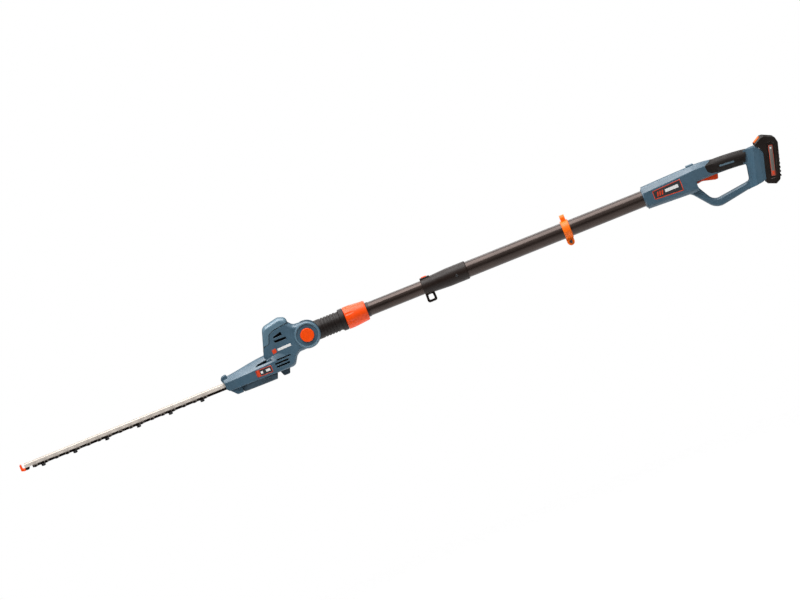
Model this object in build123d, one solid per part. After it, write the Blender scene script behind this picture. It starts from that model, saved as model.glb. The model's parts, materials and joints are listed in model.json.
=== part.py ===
from build123d import *
import math
import os

os.makedirs("parts", exist_ok=True)

# A cordless pole hedge trimmer, in millimetres. The origin is the middle of the hand grip on the
# pole's axis. +X runs from the cutting head to the battery, +Z is up and the trigger is below.

# ---- fits and general walls ----
running_gap = 0.05
sliding_gap = 0.35
moulding_gap = 0.5
shell_wall = 2.8

# ---- telescopic pole ----
inner_tube_diameter = 30.0
inner_tube_wall = 1.6
outer_tube_wall = 2.15
outer_tube_exposed = 411.0
tube_depth_in_handle = 70.0
tube_depth_in_collar = 55.0
inner_tube_exposed = 123.0
inner_tube_overlap = 428.0

# ---- telescopic collar ----
collar_length = 103.0
collar_nose_wall = 2.4
collar_body_wall = 2.5
collar_nose_length = 22.0
collar_bush_wall = 0.9
telescope_button_length = 12.0
telescope_button_width = 9.0
telescope_button_travel = 1.6
eyelet_width = 22.0
eyelet_wall = 5.0
eyelet_drop = 36.0
eyelet_thickness = 7.0

# ---- strap ring ----
strap_ring_x = -375.5
strap_ring_width = 17.0
strap_eye_width = 10.5
strap_ring_wall = 3.6
strap_eye_radius = 4.5
strap_screw_diameter = 4.0

# ---- handle ----
handle_front_x = -195.0
barrel_half_width = inner_tube_diameter / 2 + 8.0
barrel_half_height = inner_tube_diameter / 2 + 9.2
loop_half_width = 14.0
grip_half_width = 17.0
grip_rubber = 2.4
trigger_width = 13.0
trigger_pin_diameter = 4.0
slider_length = 17.0
slider_width = 13.0
slider_travel = 5.0

# ---- battery ----
battery_lean = 15.0
battery_half_width = 38.0
battery_depth = 33.0
cell_diameter = 18.4
cell_length = 65.0
cell_count = 5
rail_half_width = 19.0
rail_depth = 9.0
latch_travel = 2.5

# ---- union and neck ----
union_length = 49.0
union_front_radius = 24.5
union_rear_radius = 21.0
union_seat_radius = 18.0
ferrule_length = 6.0
neck_length = 89.5
neck_core_radius = 16.0
neck_sleeve_radius = 21.0
neck_flange_radius = 24.0
neck_rib_pitch = 7.0

# ---- tilt joint ----
cheek_radius = 29.0
cheek_half_width = 33.0
knuckle_radius = 26.0
knuckle_half_width = 13.5
cheek_gap = 0.4
tilt_button_diameter = 30.0
tilt_button_travel = 5.0
tilt_axle_diameter = 10.0
lock_gear_teeth = 12
lock_gear_radius = 12.2

# ---- drive ----
gear_module = 1.0
pinion_teeth = 9
crank_gear_teeth = 63
gear_thickness = 5.0
gear_backlash = 0.25
motor_diameter = 38.0
motor_length = 60.0
motor_shaft_diameter = 3.2
crank_shaft_diameter = 8.0
crank_throw = 6.1
eccentric_radius = 10.6
lead_diameter = 5.0

# ---- head housing ----
body_half_width = 31.0
nose_half_width = 36.0
motor_from_pivot = 61.5
motor_floor_z = -21.5
nose_floor_z = -50.5
cover_height = 13.0

# ---- blades ----
bar_half_width = 12.0
bar_height = 8.5
bar_wall = 2.0
blade_plane_z = -40.5
blade_thickness = 2.4
blade_spacing = 0.15
blade_half_width = 13.0
tooth_pitch = 24.5
tooth_count = 17
bar_tip_from_pivot = 276.5 + (tooth_count - 1) * tooth_pitch
tooth_length = 12.5
tooth_root = 13.0
tooth_tip = 6.5
blade_bolt_diameter = 5.0
blade_bolt_count = 6

# ---- worked-out places ----
inner_tube_radius = inner_tube_diameter / 2
inner_tube_bore = inner_tube_radius - inner_tube_wall
outer_tube_bore = inner_tube_radius + sliding_gap
outer_tube_radius = outer_tube_bore + outer_tube_wall
collar_rear_x = handle_front_x - outer_tube_exposed
collar_front_x = collar_rear_x - collar_length
collar_radius = outer_tube_radius + collar_body_wall
ferrule_rear_x = collar_front_x - inner_tube_exposed
union_rear_x = ferrule_rear_x - ferrule_length
union_front_x = union_rear_x - union_length
pivot_x = union_front_x - neck_length
motor_x = -motor_from_pivot
crank_x = motor_x - gear_module * (pinion_teeth + crank_gear_teeth) / 2
gear_top_z = blade_plane_z + 8.0
sweep_radius = cheek_radius + cheek_gap


# ---- helpers ----
def rod_x(radius, x_from, x_to, y=0.0, z=0.0):
    """Cylinder along X."""
    return Plane(origin=(x_from, y, z), x_dir=(0, 1, 0), z_dir=(1, 0, 0)) * Cylinder(
        radius, x_to - x_from, align=(Align.CENTER, Align.CENTER, Align.MIN))


def rod_y(radius, y_from, y_to, x=0.0, z=0.0):
    """Cylinder along Y."""
    return Plane(origin=(x, y_from, z), x_dir=(1, 0, 0), z_dir=(0, 1, 0)) * Cylinder(
        radius, y_to - y_from, align=(Align.CENTER, Align.CENTER, Align.MIN))


def rod_z(radius, z_from, z_to, x=0.0, y=0.0):
    """Cylinder along Z."""
    return Pos(x, y, z_from) * Cylinder(
        radius, z_to - z_from, align=(Align.CENTER, Align.CENTER, Align.MIN))


def block(x_from, x_to, y_from, y_to, z_from, z_to):
    """Box between two corners."""
    return Pos(x_from, y_from, z_from) * Box(
        x_to - x_from, y_to - y_from, z_to - z_from, align=(Align.MIN, Align.MIN, Align.MIN))


def rounded_face(corners):
    """Flat closed face through (u, v, corner radius) points."""
    points = [(u, v) for u, v, _ in corners]
    radii = [radius for _, _, radius in corners]
    return make_face(FilletPolyline(*points, radius=radii, close=True))


def side_prism(corners, y_from, y_to):
    """Solid standing on an outline in the XZ plane, from y_from to y_to."""
    face = Plane.XZ * rounded_face(corners)
    return extrude(Pos(0, y_to, 0) * face, amount=y_to - y_from, dir=(0, -1, 0))


def plan_prism(corners, z_from, z_to):
    """Solid standing on an outline in the XY plane, from z_from to z_to."""
    return extrude(Pos(0, 0, z_from) * rounded_face(corners), amount=z_to - z_from, dir=(0, 0, 1))


def side_edges(solid, y):
    """The edges that lie in the flat side face at y."""
    return [edge for edge in solid.edges()
            if abs(edge.bounding_box().min.Y - y) < 1e-4 and abs(edge.bounding_box().max.Y - y) < 1e-4]


def puck(corners, half_width, edge_radius):
    """Side outline with both side faces rounded over, like a moulded body."""
    solid = side_prism(corners, -half_width, half_width)
    return fillet(side_edges(solid, -half_width) + side_edges(solid, half_width), edge_radius)


def turned_x(profile):
    """Solid turned about the X axis from (x, radius) points."""
    return revolve(make_face(Polyline(*profile, close=True)), Axis.X)


def both_sides(solid):
    """A solid and its mirror image across the XZ plane."""
    return solid + mirror(solid, about=Plane.XZ)


def near_half(solid):
    """The half of a solid with Y below zero."""
    return split(solid, bisect_by=Plane.XZ, keep=Keep.TOP)


def far_half(solid):
    """The half of a solid with Y above zero."""
    return split(solid, bisect_by=Plane.XZ, keep=Keep.BOTTOM)


def hex_prism_y(across_flats, y_from, y_to, x, z):
    """Hexagonal bar along Y."""
    face = RegularPolygon(across_flats / 2, 6, major_radius=False)
    return extrude(Plane(origin=(x, y_from, z), x_dir=(1, 0, 0), z_dir=(0, 1, 0)) * face, y_to - y_from)


nodes = {}

# ======================= telescopic pole =======================
handle_tube_end_x = handle_front_x + tube_depth_in_handle
outer_tube_front_x = collar_rear_x - tube_depth_in_collar
inner_tube_front_x = union_front_x + 8.0
inner_tube_rear_x = collar_front_x + inner_tube_overlap

nodes["outer_tube"] = (rod_x(outer_tube_radius, outer_tube_front_x, handle_tube_end_x)
                       - rod_x(outer_tube_bore, outer_tube_front_x - 1, handle_tube_end_x + 1))
nodes["inner_tube"] = (rod_x(inner_tube_radius, inner_tube_front_x, inner_tube_rear_x)
                       - rod_x(inner_tube_bore, inner_tube_front_x - 1, inner_tube_rear_x + 1))

bush_length = 20.0
bush_flange = 3.0
bush_bore = inner_tube_bore - 2.2
nodes["inner_tube_bush"] = (
    rod_x(inner_tube_bore, inner_tube_rear_x - bush_length, inner_tube_rear_x)
    + rod_x(outer_tube_bore - 0.1, inner_tube_rear_x, inner_tube_rear_x + bush_flange)
    - rod_x(bush_bore, inner_tube_rear_x - bush_length - 1, inner_tube_rear_x + bush_flange + 1))

# Supply lead: a coiled stretch fixed in the outer tube, and a straight stretch that rides in the inner
# tube and dips into the coil's hollow middle as the pole slides.
lead_radius = lead_diameter / 2
coil_radius = bush_bore - 0.9
coil_hollow = lead_radius + 1.6
coil_front_x = collar_front_x + 19.0
coil_rear_x = handle_front_x - 5.0
nodes["supply_lead_coil"] = (rod_x(coil_radius, coil_front_x, coil_rear_x)
                             - rod_x(coil_hollow, coil_front_x - 1, coil_rear_x - 8)
                             + rod_x(lead_radius, coil_rear_x - 1, handle_tube_end_x + 14))

# ---- telescopic collar ----
collar_nose_radius = inner_tube_radius + sliding_gap + collar_bush_wall + collar_nose_wall - 1.05
bush_outer = inner_tube_radius + sliding_gap + collar_bush_wall
collar_blank = turned_x([
    (collar_front_x, 0), (collar_front_x, collar_nose_radius - 0.8),
    (collar_front_x + 0.8, collar_nose_radius),
    (collar_front_x + collar_nose_length, collar_nose_radius + 0.3),
    (outer_tube_front_x + 11, collar_radius), (collar_rear_x - 1.5, collar_radius),
    (collar_rear_x, collar_radius - 1.5), (collar_rear_x, 0)])
button_x = collar_front_x + 4 + telescope_button_length / 2
button_boss_top = collar_nose_radius + 2.2
button_boss = block(collar_front_x, button_x + telescope_button_length / 2 + 6,
                    -telescope_button_width / 2 - 2, telescope_button_width / 2 + 2, 0, button_boss_top)
button_boss = fillet(button_boss.edges().filter_by(Axis.X).group_by(Axis.Z)[-1], 1.8)
button_half_length = telescope_button_length / 2
button_half_width = telescope_button_width / 2
button_side_gap = 0.3
button_slot = block(button_x - button_half_length - button_side_gap,
                    button_x + button_half_length + button_side_gap,
                    -button_half_width - button_side_gap, button_half_width + button_side_gap,
                    0, button_boss_top + 5)
collar_bores = (rod_x(bush_outer, collar_front_x - 1, outer_tube_front_x)
                + rod_x(outer_tube_radius, outer_tube_front_x, collar_rear_x + 1))
eyelet_x = collar_front_x - 0.5 + eyelet_width / 2
eyelet_saddle_bottom = -collar_nose_radius - 1.5
collar = collar_blank + button_boss - button_slot - collar_bores

eyelet = puck([
    (eyelet_x - eyelet_width / 2, -eyelet_drop, 5), (eyelet_x + eyelet_width / 2, -eyelet_drop, 5),
    (eyelet_x + eyelet_width / 2 - 1, 0, 2), (eyelet_x - eyelet_width / 2 + 1, 0, 2)],
    eyelet_thickness / 2, 1.2)
eyelet_window = side_prism([
    (eyelet_x - eyelet_width / 2 + eyelet_wall, -eyelet_drop + eyelet_wall, 2.5),
    (eyelet_x + eyelet_width / 2 - eyelet_wall, -eyelet_drop + eyelet_wall, 2.5),
    (eyelet_x + eyelet_width / 2 - eyelet_wall - 1, eyelet_saddle_bottom, 2),
    (eyelet_x - eyelet_width / 2 + eyelet_wall + 1, eyelet_saddle_bottom, 2)],
    -eyelet_thickness, eyelet_thickness)
eyelet_seat = rod_x(collar_nose_radius + 0.3, collar_front_x - 10, collar_rear_x)
nodes["strap_eyelet"] = eyelet - eyelet_seat - eyelet_window

collar_screw_x = collar_rear_x - 25.4
collar_screws = Part()
for side in (-1, 1):
    head_outer = side * collar_radius
    shank_inner = side * (outer_tube_bore + 0.4)
    head = rod_y(2.7, min(head_outer, side * (outer_tube_radius + 0.9)),
                 max(head_outer, side * (outer_tube_radius + 0.9)), collar_screw_x, -2.0)
    shank = rod_y(1.6, min(shank_inner, head_outer), max(shank_inner, head_outer), collar_screw_x, -2.0)
    collar_screws += head + shank
nodes["collar_screws"] = collar_screws
nodes["collar"] = collar - collar_screws
nodes["outer_tube"] = nodes["outer_tube"] - collar_screws
nodes["collar_bush"] = (rod_x(bush_outer, collar_front_x + 2, outer_tube_front_x)
                        - rod_x(inner_tube_radius + sliding_gap, collar_front_x, outer_tube_front_x + 1)
                        - button_slot)

button_rest_top = button_boss_top + 1.7
button_floor = inner_tube_radius + 0.3 + telescope_button_travel
telescope_button = block(button_x - button_half_length, button_x + button_half_length,
                         -button_half_width, button_half_width, button_floor, button_rest_top)
nodes["telescope_button"] = fillet(telescope_button.edges().group_by(Axis.Z)[-1], 1.2)
nodes["telescope_button_spring"] = block(button_x - 4, button_x + 4, -2.5, 2.5,
                                         inner_tube_radius + 0.1, button_floor)

# ---- strap ring ----
ring_radius = outer_tube_radius + strap_ring_wall
eye_centre_z = ring_radius + strap_eye_radius + 0.4
ring_ear_z = -(outer_tube_radius + 9.5)
ring_blank = rod_x(ring_radius, strap_ring_x - strap_ring_width / 2, strap_ring_x + strap_ring_width / 2)
ring_blank = chamfer(ring_blank.edges(), 1.2)
strap_eye = rod_x(strap_eye_radius + 3.0, strap_ring_x - strap_eye_width / 2,
                  strap_ring_x + strap_eye_width / 2, 0, eye_centre_z)
strap_web = block(strap_ring_x - strap_eye_width / 2, strap_ring_x + strap_eye_width / 2,
                  -strap_eye_radius - 3, strap_eye_radius + 3, 0, eye_centre_z)
strap_ears = rod_y(8.0, -9.0, 9.0, strap_ring_x - 1, ring_ear_z)
strap_ears += block(strap_ring_x - 9, strap_ring_x + 7, -9, 9, ring_ear_z, 0)
strap_ring = ring_blank + strap_eye + strap_web + strap_ears
strap_ring -= rod_x(outer_tube_radius, strap_ring_x - 20, strap_ring_x + 20)
strap_ring -= rod_x(strap_eye_radius, strap_ring_x - 20, strap_ring_x + 20, 0, eye_centre_z)
strap_ring -= block(strap_ring_x - 20, strap_ring_x + 20, -1, 1, -80, 0)
strap_screw_radius = strap_screw_diameter / 2
strap_screw = (rod_y(strap_screw_radius, -9.0, 11.5, strap_ring_x - 1, ring_ear_z)
               + rod_y(3.5, -11.5, -9.0, strap_ring_x - 1, ring_ear_z))
strap_nut = hex_prism_y(7.0, 6.4, 9.6, strap_ring_x - 1, ring_ear_z)
nodes["strap_fastener"] = Compound([strap_screw.solid(), (strap_nut - strap_screw).solid()])
nodes["strap_ring"] = strap_ring - strap_screw - strap_nut

# ======================= union and neck =======================
nodes["ferrule"] = (rod_x(inner_tube_radius + 1, union_rear_x + 0.2, ferrule_rear_x)
                    - rod_x(inner_tube_radius, union_rear_x - 1, ferrule_rear_x + 1))

knuckle_seat_end = neck_length + 36.0
lead_y = 5.0
lead_z = 9.0
lead_bore_radius = lead_radius + 1.0
inner_cyl = rod_y(sweep_radius + 0.2, -60, 60)
neck_core = rod_x(neck_core_radius, 10, neck_length)
neck_core += rod_x(union_seat_radius, neck_length, knuckle_seat_end)
neck_core -= inner_cyl
tongue = rod_y(knuckle_radius, -knuckle_half_width, knuckle_half_width)
tongue += block(0, sweep_radius + 3, -knuckle_half_width, knuckle_half_width,
                -neck_core_radius + 3.5, neck_core_radius - 3.5)
lock_recess = rod_y(lock_gear_radius + 3.2, -knuckle_half_width - 1, -1.0)
lock_teeth = Part()
for index in range(lock_gear_teeth):
    angle = 360 / lock_gear_teeth * (index + 0.5)
    tooth = block(lock_gear_radius + 0.6, lock_gear_radius + 4, -knuckle_half_width, -1.0, -1.1, 1.1)
    lock_teeth += Rot(0, angle, 0) * tooth
tilt_axle_radius = tilt_axle_diameter / 2
knuckle = (tongue + neck_core - lock_recess) + lock_teeth
knuckle -= rod_y(tilt_axle_radius + running_gap, -60, 60)
knuckle -= rod_x(inner_tube_radius, neck_length + 8, neck_length + 60)
knuckle -= rod_x(lead_bore_radius, -40, neck_length + 20, lead_y, lead_z)
nodes["neck_knuckle"] = Pos(pivot_x, 0, 0) * knuckle

sleeve_profile = [(10.0, neck_core_radius), (10.0, neck_sleeve_radius)]
rib_x = 31.0
while rib_x + neck_rib_pitch < neck_length - 13:
    sleeve_profile.append((rib_x, neck_sleeve_radius + 0.4))
    sleeve_profile.append((rib_x + neck_rib_pitch * 0.62, neck_sleeve_radius + 0.2))
    sleeve_profile.append((rib_x + neck_rib_pitch * 0.7, neck_sleeve_radius - 1.0))
    sleeve_profile.append((rib_x + neck_rib_pitch * 0.92, neck_sleeve_radius - 1.0))
    rib_x += neck_rib_pitch
sleeve_profile += [
    (neck_length - 12, neck_sleeve_radius), (neck_length - 11, neck_flange_radius),
    (neck_length - 1.5, neck_flange_radius), (neck_length - 0.4, neck_flange_radius - 1.5),
    (neck_length - 0.4, neck_core_radius)]
nodes["neck_sleeve"] = Pos(pivot_x, 0, 0) * (turned_x(sleeve_profile) - inner_cyl - knuckle)

ring_start = neck_length
ring_end = neck_length + union_length
lock_ring = turned_x([
    (ring_start, 0), (ring_start, union_front_radius - 1.2), (ring_start + 1.2, union_front_radius),
    (ring_start + 14, union_front_radius), (ring_end - 3, union_rear_radius + 0.6),
    (ring_end - 1, union_rear_radius), (ring_end, union_rear_radius - 1), (ring_end, 0)])
lock_ring -= rod_x(union_seat_radius + running_gap, ring_start - 1, knuckle_seat_end + 0.3)
lock_ring -= rod_x(inner_tube_radius + sliding_gap, ring_start, ring_end + 1)
flute_count = 8
for index in range(flute_count):
    flute = rod_x(9.0, ring_start + 2, ring_end + 5, union_front_radius + 8.2, 0)
    lock_ring -= Rot(360 / flute_count * (index + 0.5), 0, 0) * flute
nodes["lock_ring"] = Pos(pivot_x, 0, 0) * lock_ring

coil_entry_x = collar_front_x + 309.0
lead_path = FilletPolyline(
    (pivot_x - knuckle_radius + 4.0, lead_y, lead_z), (inner_tube_front_x + 14, lead_y, lead_z),
    (inner_tube_front_x + 54, 0, 0), (coil_entry_x, 0, 0), radius=80)
lead_section = Plane(origin=lead_path @ 0, x_dir=(0, 1, 0), z_dir=(1, 0, 0)) * Circle(lead_radius)
nodes["supply_lead_straight"] = sweep(lead_section, path=lead_path)

# ======================= head housing =======================

def head_body(inset=0.0, half_width=body_half_width, edge_round=7.0):
    """Motor body of the head, whole or shrunk by a wall."""
    return puck([
        (-104, -9, 0), (-85.5, 48, 14), (-47, 56, 12.5), (-31, 50.5, 10),
        (-29.5, 38.5, 2), (-21, 29.5, 12), (0, 27.5, 0), (0, -27, 0), (-28, -28, 8), (-36, -34, 9.7),
        (-47, -52, 12), (-104, nose_floor_z - 1.5, 0)], half_width, edge_round)


def nose_section(x, half_width, z_eave, z_ridge, ridge_half):
    """Roofed cross-section of the nose at x."""
    face = rounded_face([
        (-half_width, nose_floor_z, 1.5), (half_width, nose_floor_z, 1.5), (half_width, z_eave, 3),
        (ridge_half, z_ridge, 5), (-ridge_half, z_ridge, 5), (-half_width, z_eave, 3)])
    return Plane(origin=(x, 0, 0), x_dir=(0, 1, 0), z_dir=(1, 0, 0)) * face


nose = loft([
    nose_section(-204, nose_half_width - 15, -31.5, -20.5, 9),
    nose_section(-160, nose_half_width - 6.5, -29.5, -15.5, 12),
    nose_section(crank_x - 4, nose_half_width, -27.0, -9.0, 25),
    nose_section(crank_x + 20, nose_half_width, -26.0, -8.5, 29),
    nose_section(-60, nose_half_width - 4, -26.0, -8.5, 27)])

slot_half = knuckle_half_width + cheek_gap
cheeks = rod_y(cheek_radius, -cheek_half_width, cheek_half_width)
cheeks = chamfer(cheeks.edges().filter_by(GeomType.CIRCLE), 2.4)
rim_recess = rod_y(cheek_radius - 5, -cheek_half_width, -cheek_half_width + 1.6)
roof_pocket = side_prism([(-129.5, -23.5, 0), (-123.5, -19.5, 1), (-93.5, -15.5, 1.5), (-88.5, -22.5, 0)],
                         -60, -17)
roof_pocket -= block(-101, -80, -body_half_width - 0.5, 0, -40, 0)
front_rake = side_prism([(-215, -33.4, 0), (-196.2, -53, 0), (-215, -53, 0)], -60, 60)
nose = nose - both_sides(roof_pocket) - front_rake
lip = puck([
    (-190, -33, 0), (-193.5, -20.5, 1), (-196, -15.5, 2), (-205, -17, 3.5), (-208.8, -22, 3),
    (-207.5, -28, 4), (-203, -33, 0)], 14, 1.5)
chin = puck([
    (-202.5, -45, 0), (-196.5, -51.5, 6), (-185, nose_floor_z - cover_height, 3),
    (-171, nose_floor_z - cover_height, 1.5), (-170.5, -46, 0)], 22, 1.5)
cover_bottom_z = nose_floor_z - cover_height
cover_corners = [
    (-170.2, -22, 4), (-160, -27.5, 12), (-125, -33, 20), (-97.5, -34, 14), (-88, -30, 8),
    (-88, 30, 8), (-97.5, 34, 14), (-125, 33, 20), (-160, 27.5, 12), (-170.2, 22, 4)]
cover_blank = plan_prism(cover_corners, cover_bottom_z, nose_floor_z)
cover_rear_cut = side_prism([
    (-87.5, nose_floor_z + 1, 0), (-93.5, cover_bottom_z - 1, 0), (-60, cover_bottom_z - 1, 0),
    (-60, nose_floor_z + 1, 0)], -60, 60)
head_outer = head_body() + nose + lip + chin + cheeks - both_sides(rim_recess)
head_outer -= cover_blank - cover_rear_cut

# Blue-grey top hood over the motor, parted from the shells by a narrow groove.
cap_corners = [
    (-125, 7.0, 0), (-97.5, 9.0, 0), (-83, 11.5, 5), (-75.5, 31, 7), (-62.5, 36, 12), (-20, 41.5, 0),
    (-20, 70, 0), (-125, 70, 0)]
cap_face = rounded_face(cap_corners)
seam_gap = 1.4


def cap_region(shrink):
    """Space above the hood's parting line."""
    face = offset(cap_face, -shrink) if shrink else cap_face
    return extrude(Pos(0, 60, 0) * (Plane.XZ * face), amount=120, dir=(0, -1, 0))


cavity_face = rounded_face([
    (-99, nose_floor_z + 4, 3), (-97.5, -8, 3), (-82, 45.5, 11), (-47, 52.5, 8), (-34, 48, 6),
    (-33, 36, 3), (-36, 28, 3), (-36, -30, 3), (-49, nose_floor_z + 4, 4)])
head_cavity = extrude(Pos(0, body_half_width - shell_wall - 1, 0) * (Plane.XZ * cavity_face),
                      amount=2 * (body_half_width - shell_wall - 1), dir=(0, -1, 0))
cavity_rims = side_edges(head_cavity, body_half_width - shell_wall - 1)
cavity_rims += side_edges(head_cavity, shell_wall + 1 - body_half_width)
head_cavity = chamfer(cavity_rims, 2.5)
head_cavity += rod_z(motor_diameter / 2 + 0.6, motor_floor_z, motor_floor_z + motor_length + 4, motor_x)

# ---- gear case ----
gear_outer_radius = gear_module * crank_gear_teeth / 2 + 0.9 * gear_module
chamber_radius = gear_outer_radius + 0.9
plate_bottom_z = gear_top_z + 1.0
plate_top_z = plate_bottom_z + 4.0
plate_corners = [
    (crank_x - 31, -27, 22), (motor_x + 22, -20, 14), (motor_x + 22, 20, 14), (crank_x - 31, 27, 22)]
bearing_radius = 9.0
lower_bearing_radius = 6.5
lower_bearing_height = 4.0
bearing_bore = crank_shaft_diameter / 2 + running_gap
crank_boss = rod_z(bearing_radius + 2.6, plate_top_z - 1, plate_top_z + 7, crank_x)
motor_seat = rod_z(motor_diameter / 2 + 1, plate_top_z - 1, motor_floor_z, motor_x)
gear_plate = plan_prism(plate_corners, plate_bottom_z, plate_top_z) + crank_boss + motor_seat
upper_bearing = (rod_z(bearing_radius, plate_bottom_z + 1, plate_bottom_z + 7, crank_x)
                 - rod_z(bearing_bore, plate_bottom_z, plate_bottom_z + 8, crank_x))
lower_bearing_top = nose_floor_z - 1.0
lower_bearing_bottom = lower_bearing_top - lower_bearing_height
lower_bearing = (rod_z(lower_bearing_radius, lower_bearing_bottom, lower_bearing_top, crank_x)
                 - rod_z(bearing_bore, lower_bearing_top - 7, lower_bearing_top + 1, crank_x))
nodes["crank_bearings"] = Pos(pivot_x, 0, 0) * Compound([upper_bearing.solid(), lower_bearing.solid()])
gear_plate -= rod_z(bearing_radius, plate_bottom_z - 1, plate_bottom_z + 7, crank_x)
gear_plate -= rod_z(bearing_bore + 1, plate_bottom_z, plate_top_z + 8, crank_x)
gear_plate -= rod_z(5.0, plate_bottom_z - 1, motor_floor_z + 1, motor_x)
nodes["gear_case"] = Pos(pivot_x, 0, 0) * gear_plate

gear_chamber = rod_z(chamber_radius, blade_plane_z - 6.5, plate_bottom_z, crank_x)
gear_chamber += rod_z(8.0, blade_plane_z - 3, plate_bottom_z, motor_x)
gear_chamber += rod_z(crank_shaft_diameter / 2 + 1, nose_floor_z - 1, blade_plane_z, crank_x)
blade_slot = block(-215, crank_x, -bar_half_width - 3.5, bar_half_width + 3.5,
                   blade_plane_z - 6, blade_plane_z + bar_height + 0.6)
drive_space = (gear_chamber + blade_slot + plan_prism(plate_corners, plate_bottom_z, plate_top_z)
               + crank_boss + motor_seat)

lock_bore = lock_gear_radius + sliding_gap
tilt_button_radius = tilt_button_diameter / 2
button_back_y = -20.0
pivot_space = rod_y(knuckle_radius + cheek_gap, -slot_half, slot_half)
pivot_space += block(-4, 90, -slot_half, slot_half, -60, 60)
pivot_space += rod_y(tilt_button_radius + sliding_gap, -60, button_back_y - 0.4)
pivot_space += rod_y(lock_bore, -60, 0)
pivot_space += rod_y(tilt_axle_radius, 0, 28)
pivot_space += rod_y(tilt_button_radius, cheek_half_width - 5.0, 60)
lead_hole = rod_x(lead_bore_radius, -60, -20, lead_y, lead_z)

vents = Part()
for corners in (
        [(-70.5, 20, 0.8), (-69, 23.5, 0.8), (-51, 28.5, 0.8), (-50, 20.5, 0.8)],
        [(-72.5, 15.5, 0.8), (-44.5, 14.5, 0.8), (-43.5, 9.5, 0.8), (-69.5, 9.5, 0.8)]):
    vents += side_prism(corners, -60, 60)
lower_vent_pitch = 7.0
for row, (vent_start, vent_end, vent_height) in enumerate((
        (-81, -48.5, 3.0), (-87.5, -55.5, 4.0), (-86, -55.5, 4.0))):
    vent_z = -25.5 - lower_vent_pitch * row
    vents += side_prism([
        (vent_start, vent_z - vent_height / 2, 1), (vent_end, vent_z - vent_height / 2, 1),
        (vent_end, vent_z + vent_height / 2, 1), (vent_start, vent_z + vent_height / 2, 1)], -60, 60)

head_plate_corners = [(-132.5, -45.3, 3), (-96.5, -45.3, 3), (-96.5, -30.5, 3), (-132.5, -30.5, 3)]
head_plate_region = side_prism(head_plate_corners, -60, -20)
plate_depth = 0.6
head_plate = (nose & head_plate_region) - Pos(0, plate_depth, 0) * nose

screw_spots = [(-33, 17), (-33, -17), (-98.5, -1), (-150, -24), (-190, -27)]
head_screws = Part()
screw_holes = Part()
for spot_x, spot_z in screw_spots:
    screw = rod_y(1.6, -9, 16, spot_x, spot_z) + rod_y(3.1, 14, 16.5, spot_x, spot_z)
    head_screws += screw
    screw_holes += rod_y(3.3, 16.5, 60, spot_x, spot_z)

shell_cuts = (drive_space + pivot_space + lead_hole + screw_holes)
shells = head_outer - cap_region(0) - (head_cavity - gear_plate) - vents
shells = shells - shell_cuts - both_sides(head_plate) - head_screws
nodes["head_shell_near"] = Pos(pivot_x, 0, 0) * near_half(shells)
nodes["head_shell_far"] = Pos(pivot_x, 0, 0) * far_half(shells)
nodes["head_nameplates"] = Pos(pivot_x, 0, 0) * both_sides(head_plate)
nodes["head_screws"] = Pos(pivot_x, 0, 0) * head_screws
nodes["motor_cap"] = Pos(pivot_x, 0, 0) * ((head_body() & cap_region(seam_gap)) - head_cavity)


# ---- lower gear cover and rest foot ----
cover = chamfer(cover_blank.edges().group_by(Axis.Z)[0], 1.6)
cover -= cover_rear_cut
cover_room = extrude(Pos(0, 0, cover_bottom_z + shell_wall)
                     * offset(rounded_face([(x, y, 3) for x, y, _ in cover_corners[:4]]
                                           + [(-100, -28, 3), (-100, 28, 3)]
                                           + [(x, y, 3) for x, y, _ in cover_corners[6:]]), -shell_wall),
                     amount=cover_height)
cover_room -= rod_z(lower_bearing_radius + 2.5, cover_bottom_z, 0, crank_x)
cover = cover - cover_room
for groove_z in (cover_bottom_z + 3.4, cover_bottom_z + 6.6, cover_bottom_z + 9.8):
    groove = block(-156, -104, -36, -32.2, groove_z - 0.5, groove_z + 0.5)
    cover -= groove + mirror(groove, about=Plane.XZ)
cover -= rod_z(lower_bearing_radius, lower_bearing_bottom, nose_floor_z + 1, crank_x)
cover -= rod_z(crank_shaft_diameter / 2 + 1, cover_bottom_z + 3, nose_floor_z, crank_x)
nodes["lower_gear_cover"] = Pos(pivot_x, 0, 0) * cover
nodes["rest_foot"] = Pos(pivot_x, 0, 0) * puck([
    (-83, -52, 0), (-78, -64.2, 4), (-64.5, -64.2, 4), (-60, -52, 0)], 10, 1.5)

# ---- motor, rotor and gears ----
motor_top_z = motor_floor_z + motor_length
motor_radius = motor_diameter / 2
motor_shaft_radius = motor_shaft_diameter / 2
motor_can = rod_z(motor_radius, motor_floor_z, motor_top_z, motor_x)
motor_can -= rod_z(motor_radius - 5.0, motor_floor_z + 4, motor_top_z - 4, motor_x)
motor_can -= rod_z(motor_shaft_radius + running_gap, motor_floor_z - 1, motor_top_z + 1, motor_x)
for side in (-1, 1):
    motor_can += block(motor_x - 3, motor_x + 3, side * 12 - 1, side * 12 + 1,
                       motor_top_z, motor_top_z + 3)
nodes["motor"] = Pos(pivot_x, 0, 0) * motor_can
rotor = rod_z(motor_shaft_radius, plate_bottom_z - 7, motor_top_z + 9, motor_x)
rotor += rod_z(motor_radius - 6.0, motor_floor_z + 8, motor_top_z - 8, motor_x)
fan = rod_z(4.0, motor_top_z + 3.4, motor_top_z + 8.4, motor_x)
fan_blade_count = 7
for index in range(fan_blade_count):
    fan_blade = block(2.5, 9.5, -0.7, 0.7, motor_top_z + 3.4, motor_top_z + 7.4)
    fan += Pos(motor_x, 0, 0) * Rot(0, 0, 360 / fan_blade_count * index) * fan_blade
nodes["rotor"] = Pos(pivot_x, 0, 0) * (rotor + fan)


def involute_point(base_radius, radius, turn):
    """Point of an involute flank at a radius, turned about the centre by an angle."""
    pressure = math.acos(min(1.0, base_radius / radius))
    angle = turn + math.tan(pressure) - pressure
    return (radius * math.cos(angle), radius * math.sin(angle))


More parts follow.
